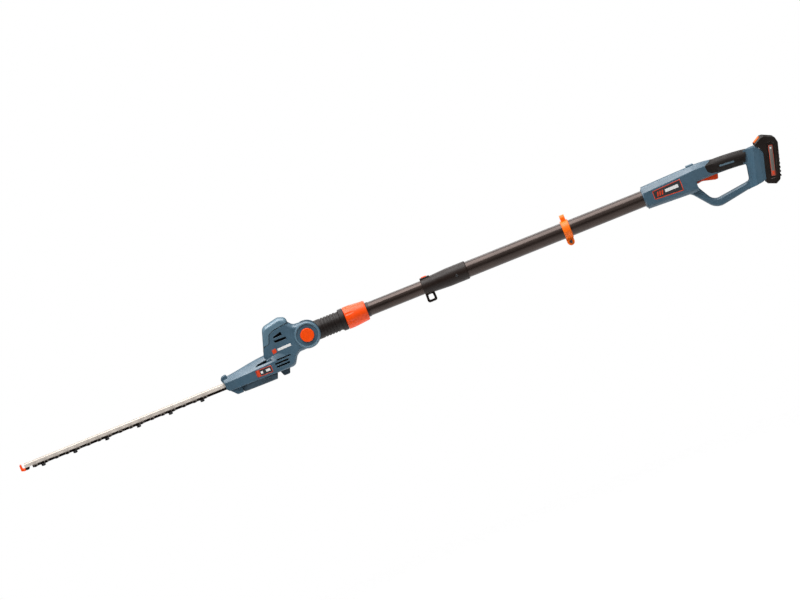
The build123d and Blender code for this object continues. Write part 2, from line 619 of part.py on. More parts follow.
def spur_gear(teeth, thickness, addendum, dedendum, turned):
    """Straight-toothed gear face with thinned involute teeth, turned by an angle in degrees."""
    pitch_radius = gear_module * teeth / 2
    pressure_angle = math.radians(25)
    base_radius = pitch_radius * math.cos(pressure_angle)
    tooth_half = math.pi / (2 * teeth) - gear_backlash / (2 * pitch_radius)
    flank_turn = -(tooth_half + math.tan(pressure_angle) - pressure_angle)
    outer = pitch_radius + addendum
    root = pitch_radius - dedendum
    start = max(base_radius, root)
    steps = [start, (start + outer) / 2, outer]
    outline = []
    for index in range(teeth):
        spin = 2 * math.pi * index / teeth + math.radians(turned)
        right = [involute_point(base_radius, radius, flank_turn) for radius in steps]
        if start > root + 0.01:
            right = [(root * right[0][0] / start, root * right[0][1] / start)] + right
        left = [(u, -v) for u, v in reversed(right)]
        for u, v in right + left:
            outline.append((u * math.cos(spin) - v * math.sin(spin),
                            u * math.sin(spin) + v * math.cos(spin)))
    return extrude(make_face(Polyline(*outline, close=True)), thickness)


crank_gear = Pos(crank_x, 0, gear_top_z - gear_thickness) * spur_gear(
    crank_gear_teeth, gear_thickness, 0.8 * gear_module, 1.25 * gear_module, 0)
crank_gear -= rod_z(crank_shaft_diameter / 2, gear_top_z - gear_thickness - 1, gear_top_z + 1, crank_x)
lightening_count = 6
for index in range(lightening_count):
    hole_angle = math.radians(360 / lightening_count * (index + 0.5))
    crank_gear -= rod_z(5.5, gear_top_z - gear_thickness - 1, gear_top_z + 1,
                        crank_x + 20 * math.cos(hole_angle), 20 * math.sin(hole_angle))
nodes["crank_gear"] = Pos(pivot_x, 0, 0) * crank_gear
pinion = Pos(motor_x, 0, gear_top_z - gear_thickness - 0.2) * spur_gear(
    pinion_teeth, gear_thickness + 0.4, 0.8 * gear_module, 1.2 * gear_module, 180 + 180 / pinion_teeth)
nodes["motor_pinion"] = Pos(pivot_x, 0, 0) * (pinion - rotor)

eccentric_top = gear_top_z - gear_thickness
eccentric_thickness = (eccentric_top - 0.3 - blade_plane_z) / 2
crankshaft = rod_z(crank_shaft_diameter / 2, lower_bearing_top - 5.5, plate_bottom_z + 7, crank_x)
crankshaft += rod_z(eccentric_radius, eccentric_top - eccentric_thickness, eccentric_top,
                    crank_x, crank_throw)
crankshaft += rod_z(eccentric_radius, eccentric_top - 2 * eccentric_thickness,
                    eccentric_top - eccentric_thickness, crank_x, -crank_throw)
nodes["crankshaft"] = Pos(pivot_x, 0, 0) * crankshaft

# ---- blades, bar and their bolts ----
bar_tip_x = -bar_tip_from_pivot
bar_root_x = crank_x - gear_outer_radius - 8.0
blade_end_x = bar_tip_x + 16.5
first_tooth_x = blade_end_x + 7.0
bolt_radius = blade_bolt_diameter / 2
bolt_places = [first_tooth_x + 16.0 + 3 * tooth_pitch * index for index in range(blade_bolt_count)]
blade_drop = 2 * blade_thickness + blade_spacing


def blade(z_top):
    """One toothed blade with bolt slots and the yoke that rides on its eccentric."""
    body = block(blade_end_x, crank_x, -blade_half_width, blade_half_width, z_top - blade_thickness, z_top)
    body += block(crank_x - eccentric_radius - 6.2, crank_x + eccentric_radius + 6.2, -22.5, 22.5,
                  z_top - blade_thickness, z_top)
    tooth = make_face(Polyline(
        (-tooth_root / 2, blade_half_width - 1), (tooth_root / 2, blade_half_width - 1),
        (tooth_tip / 2, blade_half_width + tooth_length),
        (-tooth_tip / 2, blade_half_width + tooth_length), close=True))
    teeth = Part()
    for index in range(tooth_count):
        for face in (tooth, mirror(tooth, about=Plane.XZ)):
            teeth += extrude(Pos(first_tooth_x + tooth_pitch * index, 0, z_top - blade_thickness) * face,
                             amount=blade_thickness, dir=(0, 0, 1))
    body += teeth
    window = SlotOverall(2 * (eccentric_radius + crank_throw + 0.5), 2 * (eccentric_radius + 0.2),
                         rotation=90)
    cuts = extrude(Pos(crank_x, 0, z_top - blade_thickness - 1) * window, amount=blade_thickness + 2)
    for place in bolt_places:
        slot = SlotOverall(2 * (crank_throw + bolt_radius + 0.6), 2 * (bolt_radius + 0.3))
        cuts += extrude(Pos(place, 0, z_top - blade_thickness - 1) * slot, amount=blade_thickness + 2)
    return body - cuts


nodes["upper_blade"] = Pos(pivot_x, 0, 0) * blade(blade_plane_z - 0.1)
nodes["lower_blade"] = Pos(pivot_x, 0, 0) * blade(blade_plane_z - 0.1 - blade_thickness - blade_spacing)

bar = block(bar_tip_x, bar_root_x, -bar_half_width, bar_half_width,
            blade_plane_z, blade_plane_z + bar_height)
bar = chamfer(bar.edges().filter_by(Axis.X).group_by(Axis.Z)[-1], 1.2)
bar -= block(bar_tip_x - 1, bar_root_x + 1, -bar_half_width + bar_wall, bar_half_width - bar_wall,
             blade_plane_z + bar_wall, blade_plane_z + bar_height + 1)
bolt_bottom_z = blade_plane_z - blade_drop - 6.0
blade_bolts = Part()
blade_nuts = Part()
bolt_head_z = blade_plane_z + bar_wall
for place in bolt_places:
    blade_bolts += rod_z(bolt_radius, bolt_bottom_z, bolt_head_z, place) + rod_z(
        4.2, bolt_head_z, bolt_head_z + 3.2, place)
    nut = extrude(Pos(place, 0, bolt_bottom_z + 0.6) * RegularPolygon(4.0, 6, major_radius=False), 4.0)
    washer = rod_z(5.5, bolt_bottom_z + 4.6, blade_plane_z - blade_drop - 0.25, place)
    blade_nuts += nut + washer
tip_plate_length = 9.0
tip_plate = block(bar_tip_x, bar_tip_x + tip_plate_length, -bar_half_width, bar_half_width,
                  blade_plane_z - 5.5, blade_plane_z)
tip_plate = chamfer(tip_plate.edges().filter_by(Axis.Y).group_by(Axis.Z)[0], 1.5)
guard_half = bar_half_width + 1.5
tip_guard = side_prism([
    (bar_tip_x - 10, blade_plane_z + 9.2, 1), (bar_tip_x - 6.6, blade_plane_z + 9.2, 1),
    (bar_tip_x - 6.0, blade_plane_z - 0.6, 2), (bar_tip_x, blade_plane_z - 1.6, 0),
    (bar_tip_x, blade_plane_z - 5.6, 0), (bar_tip_x - 4, blade_plane_z - 5.4, 1),
    (bar_tip_x - 10, blade_plane_z - 3.6, 2)], -guard_half, guard_half)
nodes["blade_bar"] = Pos(pivot_x, 0, 0) * (bar - blade_bolts)
nodes["blade_fasteners"] = Pos(pivot_x, 0, 0) * (blade_bolts + blade_nuts)
nodes["tip_plate"] = Pos(pivot_x, 0, 0) * tip_plate
nodes["tip_guard"] = Pos(pivot_x, 0, 0) * tip_guard

# ---- tilt lock ----
tilt_button = rod_y(tilt_button_radius, -cheek_half_width - 2.0, button_back_y - tilt_button_travel - 0.8)
tilt_button = fillet(tilt_button.edges().filter_by(GeomType.CIRCLE).group_by(Axis.Y)[0], 1.6)
tilt_button += rod_y(8.5, button_back_y - tilt_button_travel - 1, button_back_y)
axle_room = rod_y(tilt_axle_radius + sliding_gap, button_back_y - 8, 0)
nodes["tilt_button"] = Pos(pivot_x, 0, 0) * (tilt_button - axle_room)
lock_gear = rod_y(lock_gear_radius - 2.2, button_back_y, button_back_y + 8)
for index in range(lock_gear_teeth):
    tooth = block(lock_gear_radius - 3, lock_gear_radius, button_back_y, button_back_y + 8, -1.6, 1.6)
    lock_gear += Rot(0, 360 / lock_gear_teeth * index, 0) * tooth
nodes["tilt_lock_gear"] = Pos(pivot_x, 0, 0) * (lock_gear - axle_room)
tilt_axle = rod_y(tilt_axle_radius, button_back_y - 1.5, 28)
nodes["tilt_axle"] = Pos(pivot_x, 0, 0) * tilt_axle
nodes["tilt_spring"] = Pos(pivot_x, 0, 0) * (
    rod_y(tilt_axle_radius + 2.4, -5.6, -1.0) - rod_y(tilt_axle_radius + 0.3, -6, 0))
tilt_cap = rod_y(tilt_button_radius, cheek_half_width - 5, cheek_half_width + 1.4)
nodes["tilt_cap"] = Pos(pivot_x, 0, 0) * fillet(
    tilt_cap.edges().filter_by(GeomType.CIRCLE).group_by(Axis.Y)[-1], 1.2)


# ======================= handle =======================
barrel_rear_x = handle_front_x + 115.0
barrel_rise = 3.2


def barrel_section(x, half_width, z_bottom, z_crease, z_top, bottom_round=9.0):
    """Cross-section of the handle barrel: upright sides, a crease and a narrower rounded top."""
    face = rounded_face([
        (-half_width, z_bottom, bottom_round), (half_width, z_bottom, bottom_round),
        (half_width, z_crease, 3), (half_width - 9, z_top, 7), (9 - half_width, z_top, 7),
        (-half_width, z_crease, 3)])
    return Plane(origin=(x, 0, 0), x_dir=(0, 1, 0), z_dir=(1, 0, 0)) * face


def barrel(wall=0.0):
    """Front barrel of the handle, whole or shrunk by a wall."""
    half = barrel_half_width - wall
    height = barrel_half_height - wall
    return loft([
        barrel_section(handle_front_x, half - 0.6, -height, 11.5, height),
        barrel_section(handle_front_x + 55, half, -height - 2.4, 14.0, height + 1.9),
        barrel_section(barrel_rear_x, half - 0.4, -height - 5.0, 17.5, height + barrel_rise)])


def trigger_housing(skin=0.0):
    """Housing above the trigger, from the barrel to the grip, whole or without a rubber skin."""
    top = barrel_half_height - skin
    half = barrel_half_width - skin
    floor = skin - 8.2
    return loft([
        barrel_section(barrel_rear_x, half - 0.4, floor, 17.5 - skin, top + barrel_rise, 4.0),
        barrel_section(handle_front_x + 140, half - 3.0, floor, 17.0 - skin, top + 2.6, 4.0),
        barrel_section(handle_front_x + 166, grip_half_width - skin, floor - 0.4, 14.0 - skin, top - 0.8,
                       6.0 - skin)])


def grip_section(x, half_width, z_bottom, z_top):
    """Oval cross-section of the hand grip at x."""
    height = z_top - z_bottom
    corner = min(half_width, height / 2) - 2.5
    face = Pos(0, (z_top + z_bottom) / 2) * RectangleRounded(2 * half_width, height, corner)
    return Plane(origin=(x, 0, 0), x_dir=(0, 1, 0), z_dir=(1, 0, 0)) * face


def grip_body(skin=0.0):
    """Hand grip, whole or without its rubber skin."""
    half = grip_half_width - skin
    return loft([
        grip_section(-56, half, -8.4 + skin, 24.2 - skin),
        grip_section(-15, half + 0.6, -9.6 + skin, 23.4 - skin),
        grip_section(20, half, -11.8 + skin, 21.0 - skin),
        grip_section(48, half - 1, -16.0 + skin, 17.2 - skin)])


opening_corners = [
    (-80.5, -8.0, 8), (-79.5, -22, 22), (-58, -59.6, 20),
    (28.5, -48.6, 8), (35.2, -12.8, 7.5), (20, -8.0, 2)]
loop_hole = side_prism(opening_corners, -60, 60)
hand_loop = puck([
    (-118, -4, 0), (-118, -23.0, 0), (-98.8, -29.3, 25), (-58.9, -78.6, 32), (35, -62.6, 60),
    (60, -58.8, 0), (60, -4, 0)], loop_half_width, 4.0)
hand_loop -= loop_hole
inner_rim = [edge for y in (-loop_half_width, loop_half_width) for edge in side_edges(hand_loop, y)
             if edge.bounding_box().min.X > -85 and edge.bounding_box().max.X < 40
             and edge.bounding_box().min.Z > -62]
hand_loop = chamfer(inner_rim, 3.2)

dock_plane = Plane(
    origin=(71.2, 0, -20.1),
    x_dir=(math.cos(math.radians(battery_lean)), 0, -math.sin(math.radians(battery_lean))),
    z_dir=(math.sin(math.radians(battery_lean)), 0, math.cos(math.radians(battery_lean))))
dock_half_width = battery_half_width - 3.0
dock_foot = side_prism([
    (-42, -66, 0), (0.0, -38.5, 0), (0.0, 18, 6),
    (-5.5, 26.5, 8), (-15.5, 33.2, 4), (-42, 27, 0)], -60, 60)
flare = plan_prism([
    (-60, -loop_half_width, 0), (-33, -loop_half_width, 8), (-22, 3 - dock_half_width, 6),
    (-8, -dock_half_width, 10), (0, -dock_half_width, 0), (0, dock_half_width, 0),
    (-8, dock_half_width, 10), (-22, dock_half_width - 3, 6), (-33, loop_half_width, 8),
    (-60, loop_half_width, 0)], -70, 50)
foot_hull = side_prism([
    (14, 16.5, 0), (43, 17.6, 4), (62, 18.4, 2), (82, 12, 0), (76, -58, 0), (57, -59.6, 2),
    (20, -65.4, 0)], -60, 60)
dock_foot = (dock_plane * (dock_foot & flare)) & foot_hull
dock_foot -= loop_hole

handle_outer = barrel() + trigger_housing() + hand_loop + dock_foot + grip_body(grip_rubber)
front_rim = rod_x(outer_tube_radius + 3.6, handle_front_x - 3.0, handle_front_x + 2)
front_rim = chamfer(front_rim.edges().filter_by(GeomType.CIRCLE).group_by(Axis.X)[0], 1.0)
handle_outer += front_rim

# ---- trigger ----
trigger_pivot_x = -73.5
trigger_pivot_z = -3.0
trigger_half = trigger_width / 2
trigger_pin_radius = trigger_pin_diameter / 2
trigger = side_prism([
    (-78.5, -14.0, 1.2), (-67, -12.0, 14), (-39, -19.6, 5), (-32.8, -19.4, 1.8), (-29.6, -9.0, 1),
    (-31.5, -1.5, 1), (-70, 1.6, 3), (-78.5, 1.6, 4)], -trigger_half, trigger_half)
trigger = chamfer(side_edges(trigger, -trigger_half) + side_edges(trigger, trigger_half), 0.8)
nodes["trigger"] = trigger - rod_y(trigger_pin_radius + running_gap, -20, 20,
                                   trigger_pivot_x, trigger_pivot_z)
trigger_pin = rod_y(trigger_pin_radius, -trigger_half - 4, trigger_half + 4,
                    trigger_pivot_x, trigger_pivot_z)
nodes["trigger_pin"] = trigger_pin
trigger_room = side_prism([
    (-79.6, -30, 0), (-28.2, -30, 0), (-28.2, 2, 0), (-34, 9, 0), (-79.6, 4, 0)],
    -trigger_half - moulding_gap, trigger_half + moulding_gap)

# Soft rubber skin of the grip, let into the housing along a swept-back line.
rubber_region = side_prism([
    (-35, 40, 0), (-37, 22.5, 4), (-51.5, 16.5, 4), (-49.5, 2.5, 8), (-43, -3, 5), (-29, -5.5, 3),
    (-28, -40, 0), (27, -40, 0), (32.5, -12, 8), (44, 17, 4), (46, 40, 0)], -40, 40)
rubber_core = grip_body(grip_rubber) + trigger_housing(grip_rubber)
rubber_blank = grip_body() + (trigger_housing() & rubber_region) - rubber_core
inlay_region = side_prism([(-21, 3.4, 1.6), (12, 0.8, 1.6), (12, 4.8, 1.6), (-21, 7.4, 1.6)], -60, 60)
rubber = (rubber_blank & rubber_region) - trigger_room
inlays = (rubber & inlay_region) - grip_body(grip_rubber - 0.8)
nodes["grip_inlays"] = inlays
nodes["soft_grip"] = rubber - inlays

handle_plate_corners = [(-176, -10.4, 3), (-111, -14.4, 3), (-111, 11.6, 3), (-176, 8.6, 3)]
handle_plate_region = side_prism(handle_plate_corners, -60, -10)
handle_plate = (barrel() & handle_plate_region) - Pos(0, plate_depth, 0) * barrel()
nodes["handle_nameplates"] = both_sides(handle_plate)

# ---- lock-off slider ----
slider_x = -80.5
slider_floor_z = barrel_half_height + barrel_rise + 0.4
slider_top_z = slider_floor_z + 3.5
slider_half = slider_length / 2
slider = block(slider_x - slider_half, slider_x + slider_half, -slider_width / 2, slider_width / 2,
               slider_floor_z, slider_top_z)
slider = fillet(slider.edges().group_by(Axis.Z)[-1], 1.6)
slider_ridge_count = 4
for index in range(slider_ridge_count):
    slider -= rod_y(0.6, -slider_width, slider_width, slider_x + 3.0 * (index - 1.5), slider_top_z)
slider_stem = block(slider_x - 3, slider_x + 3, -3, 3, slider_floor_z - 8, slider_floor_z + 1)
slider_plate = block(slider_x - 6, slider_x + 6, -5.5, 5.5, slider_floor_z - 9, slider_floor_z - 6.5)
nodes["lock_off_slider"] = slider + slider_stem + slider_plate
slider_slot = block(slider_x - 3.5 - slider_travel, slider_x + 3.5, -3.5, 3.5, 10, 40)
slider_room = block(slider_x - 7 - slider_travel, slider_x + 7, -6.2, 6.2,
                    slider_floor_z - 10.5, slider_floor_z - 6.0)

# ---- switch, board and screws ----
switch = block(-68, -46, -6, 6, 11.0, 18.0) + rod_z(2.0, 9.6, 11.5, -50)
nodes["trigger_switch"] = switch
board = block(-116, -86, -13, 13, -10.6, -9.0)
for part_x, part_y, part_size in ((-110, -7, 6), (-100, 5, 8), (-92, -6, 5)):
    board += block(part_x, part_x + part_size, part_y - part_size / 2, part_y + part_size / 2, -9.1, -4.5)
nodes["control_board"] = board

tube_screw_drop = outer_tube_radius + 3.5
screw_places = [
    (-186, -tube_screw_drop), (-150, -tube_screw_drop - 3.4), (-96, 20.0), (-85, -32.0),
    (-62.5, -65.5), (0, -61.5), (47, -50), (53, 9)]
handle_screws = Part()
handle_screw_holes = Part()
for place_x, place_z in screw_places:
    handle_screws += rod_y(1.5, -8, 10, place_x, place_z) + rod_y(2.9, 8.5, 11, place_x, place_z)
    handle_screw_holes += rod_y(3.1, 11, 60, place_x, place_z)
nodes["handle_screws"] = handle_screws

tube_grip_front = block(handle_front_x, handle_front_x + 16, -40, 40, -40, 40)
tube_grip_rear = block(handle_tube_end_x - 16, handle_tube_end_x + 3, -40, 40, -40, 40)
barrel_room = (barrel(shell_wall) - tube_grip_front - tube_grip_rear
               - block(barrel_rear_x - 6, barrel_rear_x + 20, -40, 40, -60, 60)
               - block(-104, -90, -40, 40, 14.5, 40) - block(-160, -140, -40, 40, -40, -20))
switch_room = block(-69, -45, -8, 8, 8.0, 18.5)
core_room = rod_x(8.0, -60, 40, 0, 5)
tube_room = (rod_x(outer_tube_radius, handle_front_x - 10, handle_tube_end_x)
             + rod_x(lead_radius + 0.5, handle_tube_end_x - 1, handle_tube_end_x + 20))
dock_rail_half = rail_half_width
dock_base = block(-7, 0, -dock_rail_half - 3, dock_rail_half + 3, -34, 16)
rail_neck = rail_half_width - 4.0
dock_local = dock_base + block(-1, 5, -rail_neck, rail_neck, -34, 14)
dock_local += block(5, rail_depth, -rail_half_width, rail_half_width, -34, 14)
contact_ys = (-9.0, 0.0, 9.0)
contacts = Part()
for contact_y in contact_ys:
    contacts += block(1.5, 7.5, contact_y - 0.5, contact_y + 0.5, 6, 21)
nodes["battery_dock"] = dock_plane * (dock_local - contacts)
nodes["dock_contacts"] = dock_plane * contacts
handle_room = (barrel_room + switch_room + core_room + tube_room + trigger_room + slider_slot
               + slider_room + dock_plane * dock_base)
handle_cuts = (handle_room + handle_screw_holes + handle_screws + trigger_pin + both_sides(handle_plate))
handle = handle_outer - (rubber_blank & rubber_region) - handle_cuts
nodes["handle_shell_near"] = near_half(handle)
nodes["handle_shell_far"] = far_half(handle)

# ======================= battery =======================
battery_face_gap = 0.4
battery_outline = [
    (1.5, -48, 2), (21, -50.5, 2.5), (30.5, -42, 7), (31.8, -20, 0), (battery_depth, 8, 0),
    (battery_depth + 0.7, 38, 6), (27.5, 49.8, 5), (4, 54, 2.5), (-2.5, 52.5, 2.5), (-16.6, 38.5, 2),
    (-15.4, 34.0, 0), (-5, 27.2, 3), (battery_face_gap, 19.5, 0), (battery_face_gap, -44, 0)]
battery_outer = puck(battery_outline, battery_half_width, 1.8)
bezel = side_prism([
    (7, -40, 3), (24, -36, 5), (26.5, 8, 0), (27, 34, 5), (19, 42, 5), (8, 38, 5)],
    -battery_half_width - 1, -battery_half_width + 1.4)
battery_outer -= both_sides(bezel)
battery_lid_depth = 13.0
channel = block(-1, 5 - 0.4, -rail_neck - 0.4, rail_neck + 0.4, -70, 14.6)
channel += block(5 - 0.4, rail_depth + 0.4, -rail_half_width - 0.4, rail_half_width + 0.4, -70, 14.6)
for contact_y in contact_ys:
    channel += block(-1, 8.2, contact_y - 1.2, contact_y + 1.2, 5, 22.5)
cell_radius = cell_diameter / 2
cell_u = rail_depth + 1.8 + cell_radius
cell_pitch = cell_diameter + 0.5
cell_middle_v = 2.0
cell_row_half = cell_pitch * (cell_count - 1) / 2
cell_room_half = cell_length / 2 + 1.5
cells = Part()
cell_room = block(cell_u - 5, cell_u + 5, -cell_room_half, cell_room_half,
                  cell_middle_v - cell_row_half, cell_middle_v + cell_row_half)
for index in range(cell_count):
    cell_v = cell_middle_v - cell_row_half + cell_pitch * index
    cells += rod_y(cell_radius, -cell_length / 2, cell_length / 2, cell_u, cell_v)
    cell_room += rod_y(cell_radius + 0.3, -cell_room_half, cell_room_half, cell_u, cell_v)
nodes["battery_cells"] = dock_plane * cells
latch_normal = Plane(origin=(-9.6, 0, 45.6), x_dir=(0.7071, 0, 0.7071), z_dir=(-0.7071, 0, 0.7071))
latch_half_length = 8.5
latch_half_width = 13.0
latch_block = latch_normal * block(-latch_half_length, latch_half_length, -latch_half_width,
                                   latch_half_width, -5.5, 1.8)
latch_block = fillet(latch_block.edges().filter_by(GeomType.LINE).group_by(
    Axis((0, 0, 0), (-0.7071, 0, 0.7071)))[-1], 1.2)
latch_room = latch_normal * block(-latch_half_length - 0.4, latch_half_length + 0.4,
                                  -latch_half_width - 0.4, latch_half_width + 0.4,
                                  -5.5 - latch_travel - 0.5, 6)
nodes["battery_latch"] = dock_plane * latch_block
battery = battery_outer - channel - cell_room - latch_room
front_half = block(-40, battery_lid_depth, -60, 60, -80, 80)
nodes["battery_lid"] = dock_plane * (battery & front_half)
nodes["battery_case"] = dock_plane * (battery - front_half)

for name in nodes:
    node = nodes[name]
    print(name, len(node.solids()), round(node.volume), node.is_valid)
    export_step(node if isinstance(node, Compound) else Compound([node]), f"parts/{name}.step")
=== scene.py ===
import json
import logging
import math
from dataclasses import dataclass, field
from enum import Enum

import bmesh
import bpy
from mathutils import Matrix, Vector
from mathutils.bvhtree import BVHTree
from mathutils.geometry import tessellate_polygon


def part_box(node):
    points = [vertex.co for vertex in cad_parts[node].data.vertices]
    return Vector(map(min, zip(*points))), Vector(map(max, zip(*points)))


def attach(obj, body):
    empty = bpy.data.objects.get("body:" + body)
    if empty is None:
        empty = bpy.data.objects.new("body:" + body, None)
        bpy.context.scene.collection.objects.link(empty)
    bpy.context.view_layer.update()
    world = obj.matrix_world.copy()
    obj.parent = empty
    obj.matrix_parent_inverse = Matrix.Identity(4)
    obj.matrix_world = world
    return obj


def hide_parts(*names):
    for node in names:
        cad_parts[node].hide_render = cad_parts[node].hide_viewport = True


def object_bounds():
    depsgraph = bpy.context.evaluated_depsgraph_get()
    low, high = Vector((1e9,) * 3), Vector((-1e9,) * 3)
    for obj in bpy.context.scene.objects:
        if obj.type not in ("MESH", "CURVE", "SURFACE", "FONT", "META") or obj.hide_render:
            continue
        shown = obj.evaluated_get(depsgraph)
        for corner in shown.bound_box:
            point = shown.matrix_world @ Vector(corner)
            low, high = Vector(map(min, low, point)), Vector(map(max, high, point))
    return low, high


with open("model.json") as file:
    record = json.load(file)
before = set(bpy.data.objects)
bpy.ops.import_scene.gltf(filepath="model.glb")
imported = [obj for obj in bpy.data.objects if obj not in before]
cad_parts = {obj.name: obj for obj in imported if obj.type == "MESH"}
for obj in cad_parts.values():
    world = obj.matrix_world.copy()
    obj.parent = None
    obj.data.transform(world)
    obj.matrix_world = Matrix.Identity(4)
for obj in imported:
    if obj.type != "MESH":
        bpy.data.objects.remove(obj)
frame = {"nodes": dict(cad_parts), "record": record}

CAD_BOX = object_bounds()
log = logging.getLogger("pole_trimmer")

Colour = tuple[float, float, float]
Outline = list[tuple[float, float]]
Size = tuple[float, float, float]
Socket = bpy.types.NodeSocket
Material = bpy.types.Material
Mesh = bpy.types.Mesh
Faces = bmesh.types.BMesh


# ---------------------------------------------------------------- colours and finishes


def tone(red: int, green: int, blue: int) -> Colour:
    """Turn a display colour into the linear colour that shaders take.

    Args:
        red: Red, 0 to 255.
        green: Green, 0 to 255.
        blue: Blue, 0 to 255.

    Returns:
        The linear red, green and blue.
    """

    def channel(value: int) -> float:
        share = value / 255
        return share / 12.92 if share <= 0.04045 else ((share + 0.055) / 1.055) ** 2.4

    return channel(red), channel(green), channel(blue)


class Direction(Enum):
    """Which way a metal's drawing or grinding lines run."""

    LENGTHWISE = (6.0, 900.0, 900.0)
    ROUND = (900.0, 40.0, 40.0)
    NONE = (260.0, 260.0, 260.0)


class Paint:
    """A node material under construction, with the links between its nodes kept short to write."""

    def __init__(self, name: str) -> None:
        """Start an empty Principled material.

        Args:
            name: The material's name.
        """
        self.material = bpy.data.materials.new(name)
        self.material.use_nodes = True
        self.tree = self.material.node_tree
        self.shader = self.tree.nodes["Principled BSDF"]
        self.place = self.tree.nodes.new("ShaderNodeTexCoord").outputs["Object"]

    def join(self, source: Socket, target: Socket) -> None:
        """Link one socket to another."""
        self.tree.links.new(source, target)

    def noise(self, scale: float, detail: float = 3.0,
              stretch: tuple[float, float, float] | None = None) -> Socket:
        """Add a noise pattern in the object's own coordinates.

        Args:
            scale: Features per metre.
            detail: Number of finer layers.
            stretch: Scale along each axis in place of scale, or None.

        Returns:
            The pattern's value socket.
        """
        noise = self.tree.nodes.new("ShaderNodeTexNoise")
        noise.inputs["Detail"].default_value = detail
        if stretch is None:
            noise.inputs["Scale"].default_value = scale
            self.join(self.place, noise.inputs["Vector"])
        else:
            mapping = self.tree.nodes.new("ShaderNodeMapping")
            mapping.inputs["Scale"].default_value = stretch
            self.join(self.place, mapping.inputs["Vector"])
            self.join(mapping.outputs[0], noise.inputs["Vector"])
            noise.inputs["Scale"].default_value = 1.0
        return noise.outputs[0]

    def spread(self, value: Socket, low: float, high: float,
               start: float = 0.3, end: float = 0.7) -> Socket:
        """Map a value from start..end onto low..high.

        Args:
            value: The socket to map.
            low: Result at start.
            high: Result at end.
            start: Input that gives low.
            end: Input that gives high.

        Returns:
            The mapped value's socket.
        """
        node = self.tree.nodes.new("ShaderNodeMapRange")
        node.inputs["From Min"].default_value = start
        node.inputs["From Max"].default_value = end
        node.inputs["To Min"].default_value = low
        node.inputs["To Max"].default_value = high
        self.join(value, node.inputs["Value"])
        return node.outputs[0]

    def calculate(self, operation: str, first: Socket,
                  second: Socket | float) -> Socket:
        """Combine two values with a math operation.

        Args:
            operation: The math node's operation.
            first: The first value.
            second: The second value, a socket or a number.

        Returns:
            The result's socket.
        """
        node = self.tree.nodes.new("ShaderNodeMath")
        node.operation = operation
        self.join(first, node.inputs[0])
        if isinstance(second, Socket):
            self.join(second, node.inputs[1])
        else:
            node.inputs[1].default_value = second
        return node.outputs[0]

    def blend(self, factor: Socket, low: Colour | Socket,
              high: Colour | Socket) -> Socket:
        """Blend two colours by a factor.

        Args:
            factor: 0 gives low and 1 gives high.
            low: The first colour or its socket.
            high: The second colour or its socket.

        Returns:
            The blended colour's socket.
        """
        node = self.tree.nodes.new("ShaderNodeMix")
        node.data_type = "RGBA"
        self.join(factor, node.inputs[0])
        for socket, colour in ((node.inputs[6], low), (node.inputs[7], high)):
            if isinstance(colour, Socket):
                self.join(colour, socket)
            else:
                socket.default_value = (*colour, 1.0)
        return node.outputs[2]

    def edges(self, radius: float) -> tuple[Socket, Socket]:
        """Find the piece's edges.

        Args:
            radius: How wide an edge is softened, in metres.

        Returns:
            The softened normal, and a mask that is 1 on sharp outer and inner edges.
        """
        bevel = self.tree.nodes.new("ShaderNodeBevel")
        bevel.samples = 4
        bevel.inputs["Radius"].default_value = radius
        geometry = self.tree.nodes.new("ShaderNodeNewGeometry")
        dot = self.tree.nodes.new("ShaderNodeVectorMath")
        dot.operation = "DOT_PRODUCT"
        self.join(bevel.outputs[0], dot.inputs[0])
        self.join(geometry.outputs["Normal"], dot.inputs[1])
        return bevel.outputs[0], self.spread(dot.outputs["Value"], 1.0, 0.0, 0.86, 0.995)

    def relief(self, height: Socket, distance: float, strength: float,
               normal: Socket | None) -> Socket:
        """Add a bump.

        Args:
            height: The height pattern.
            distance: Its depth in metres.
            strength: How strongly it shows, 0 to 1.
            normal: The normal under it, or None.

        Returns:
            The bumped normal's socket.
        """
        bump = self.tree.nodes.new("ShaderNodeBump")
        bump.inputs["Distance"].default_value = distance
        bump.inputs["Strength"].default_value = strength
        self.join(height, bump.inputs["Height"])
        if normal is not None:
            self.join(normal, bump.inputs["Normal"])
        return bump.outputs[0]

    def shade(self, colour: Socket, rough: Socket, normal: Socket) -> None:
        """Feed the shader.

        Args:
            colour: The base colour's socket.
            rough: The roughness's socket.
            normal: The normal's socket.
        """
        for name, socket in (("Base Color", colour), ("Roughness", rough), ("Normal", normal)):
            self.join(socket, self.shader.inputs[name])

    def axis(self, index: int) -> Socket:
        """Take one of the object's own coordinates.

        Args:
            index: 0 for x, 1 for y, 2 for z.

        Returns:
            The coordinate's socket.
        """
        parts = self.tree.nodes.new("ShaderNodeSeparateXYZ")
        self.join(self.place, parts.inputs[0])
        return parts.outputs[index]


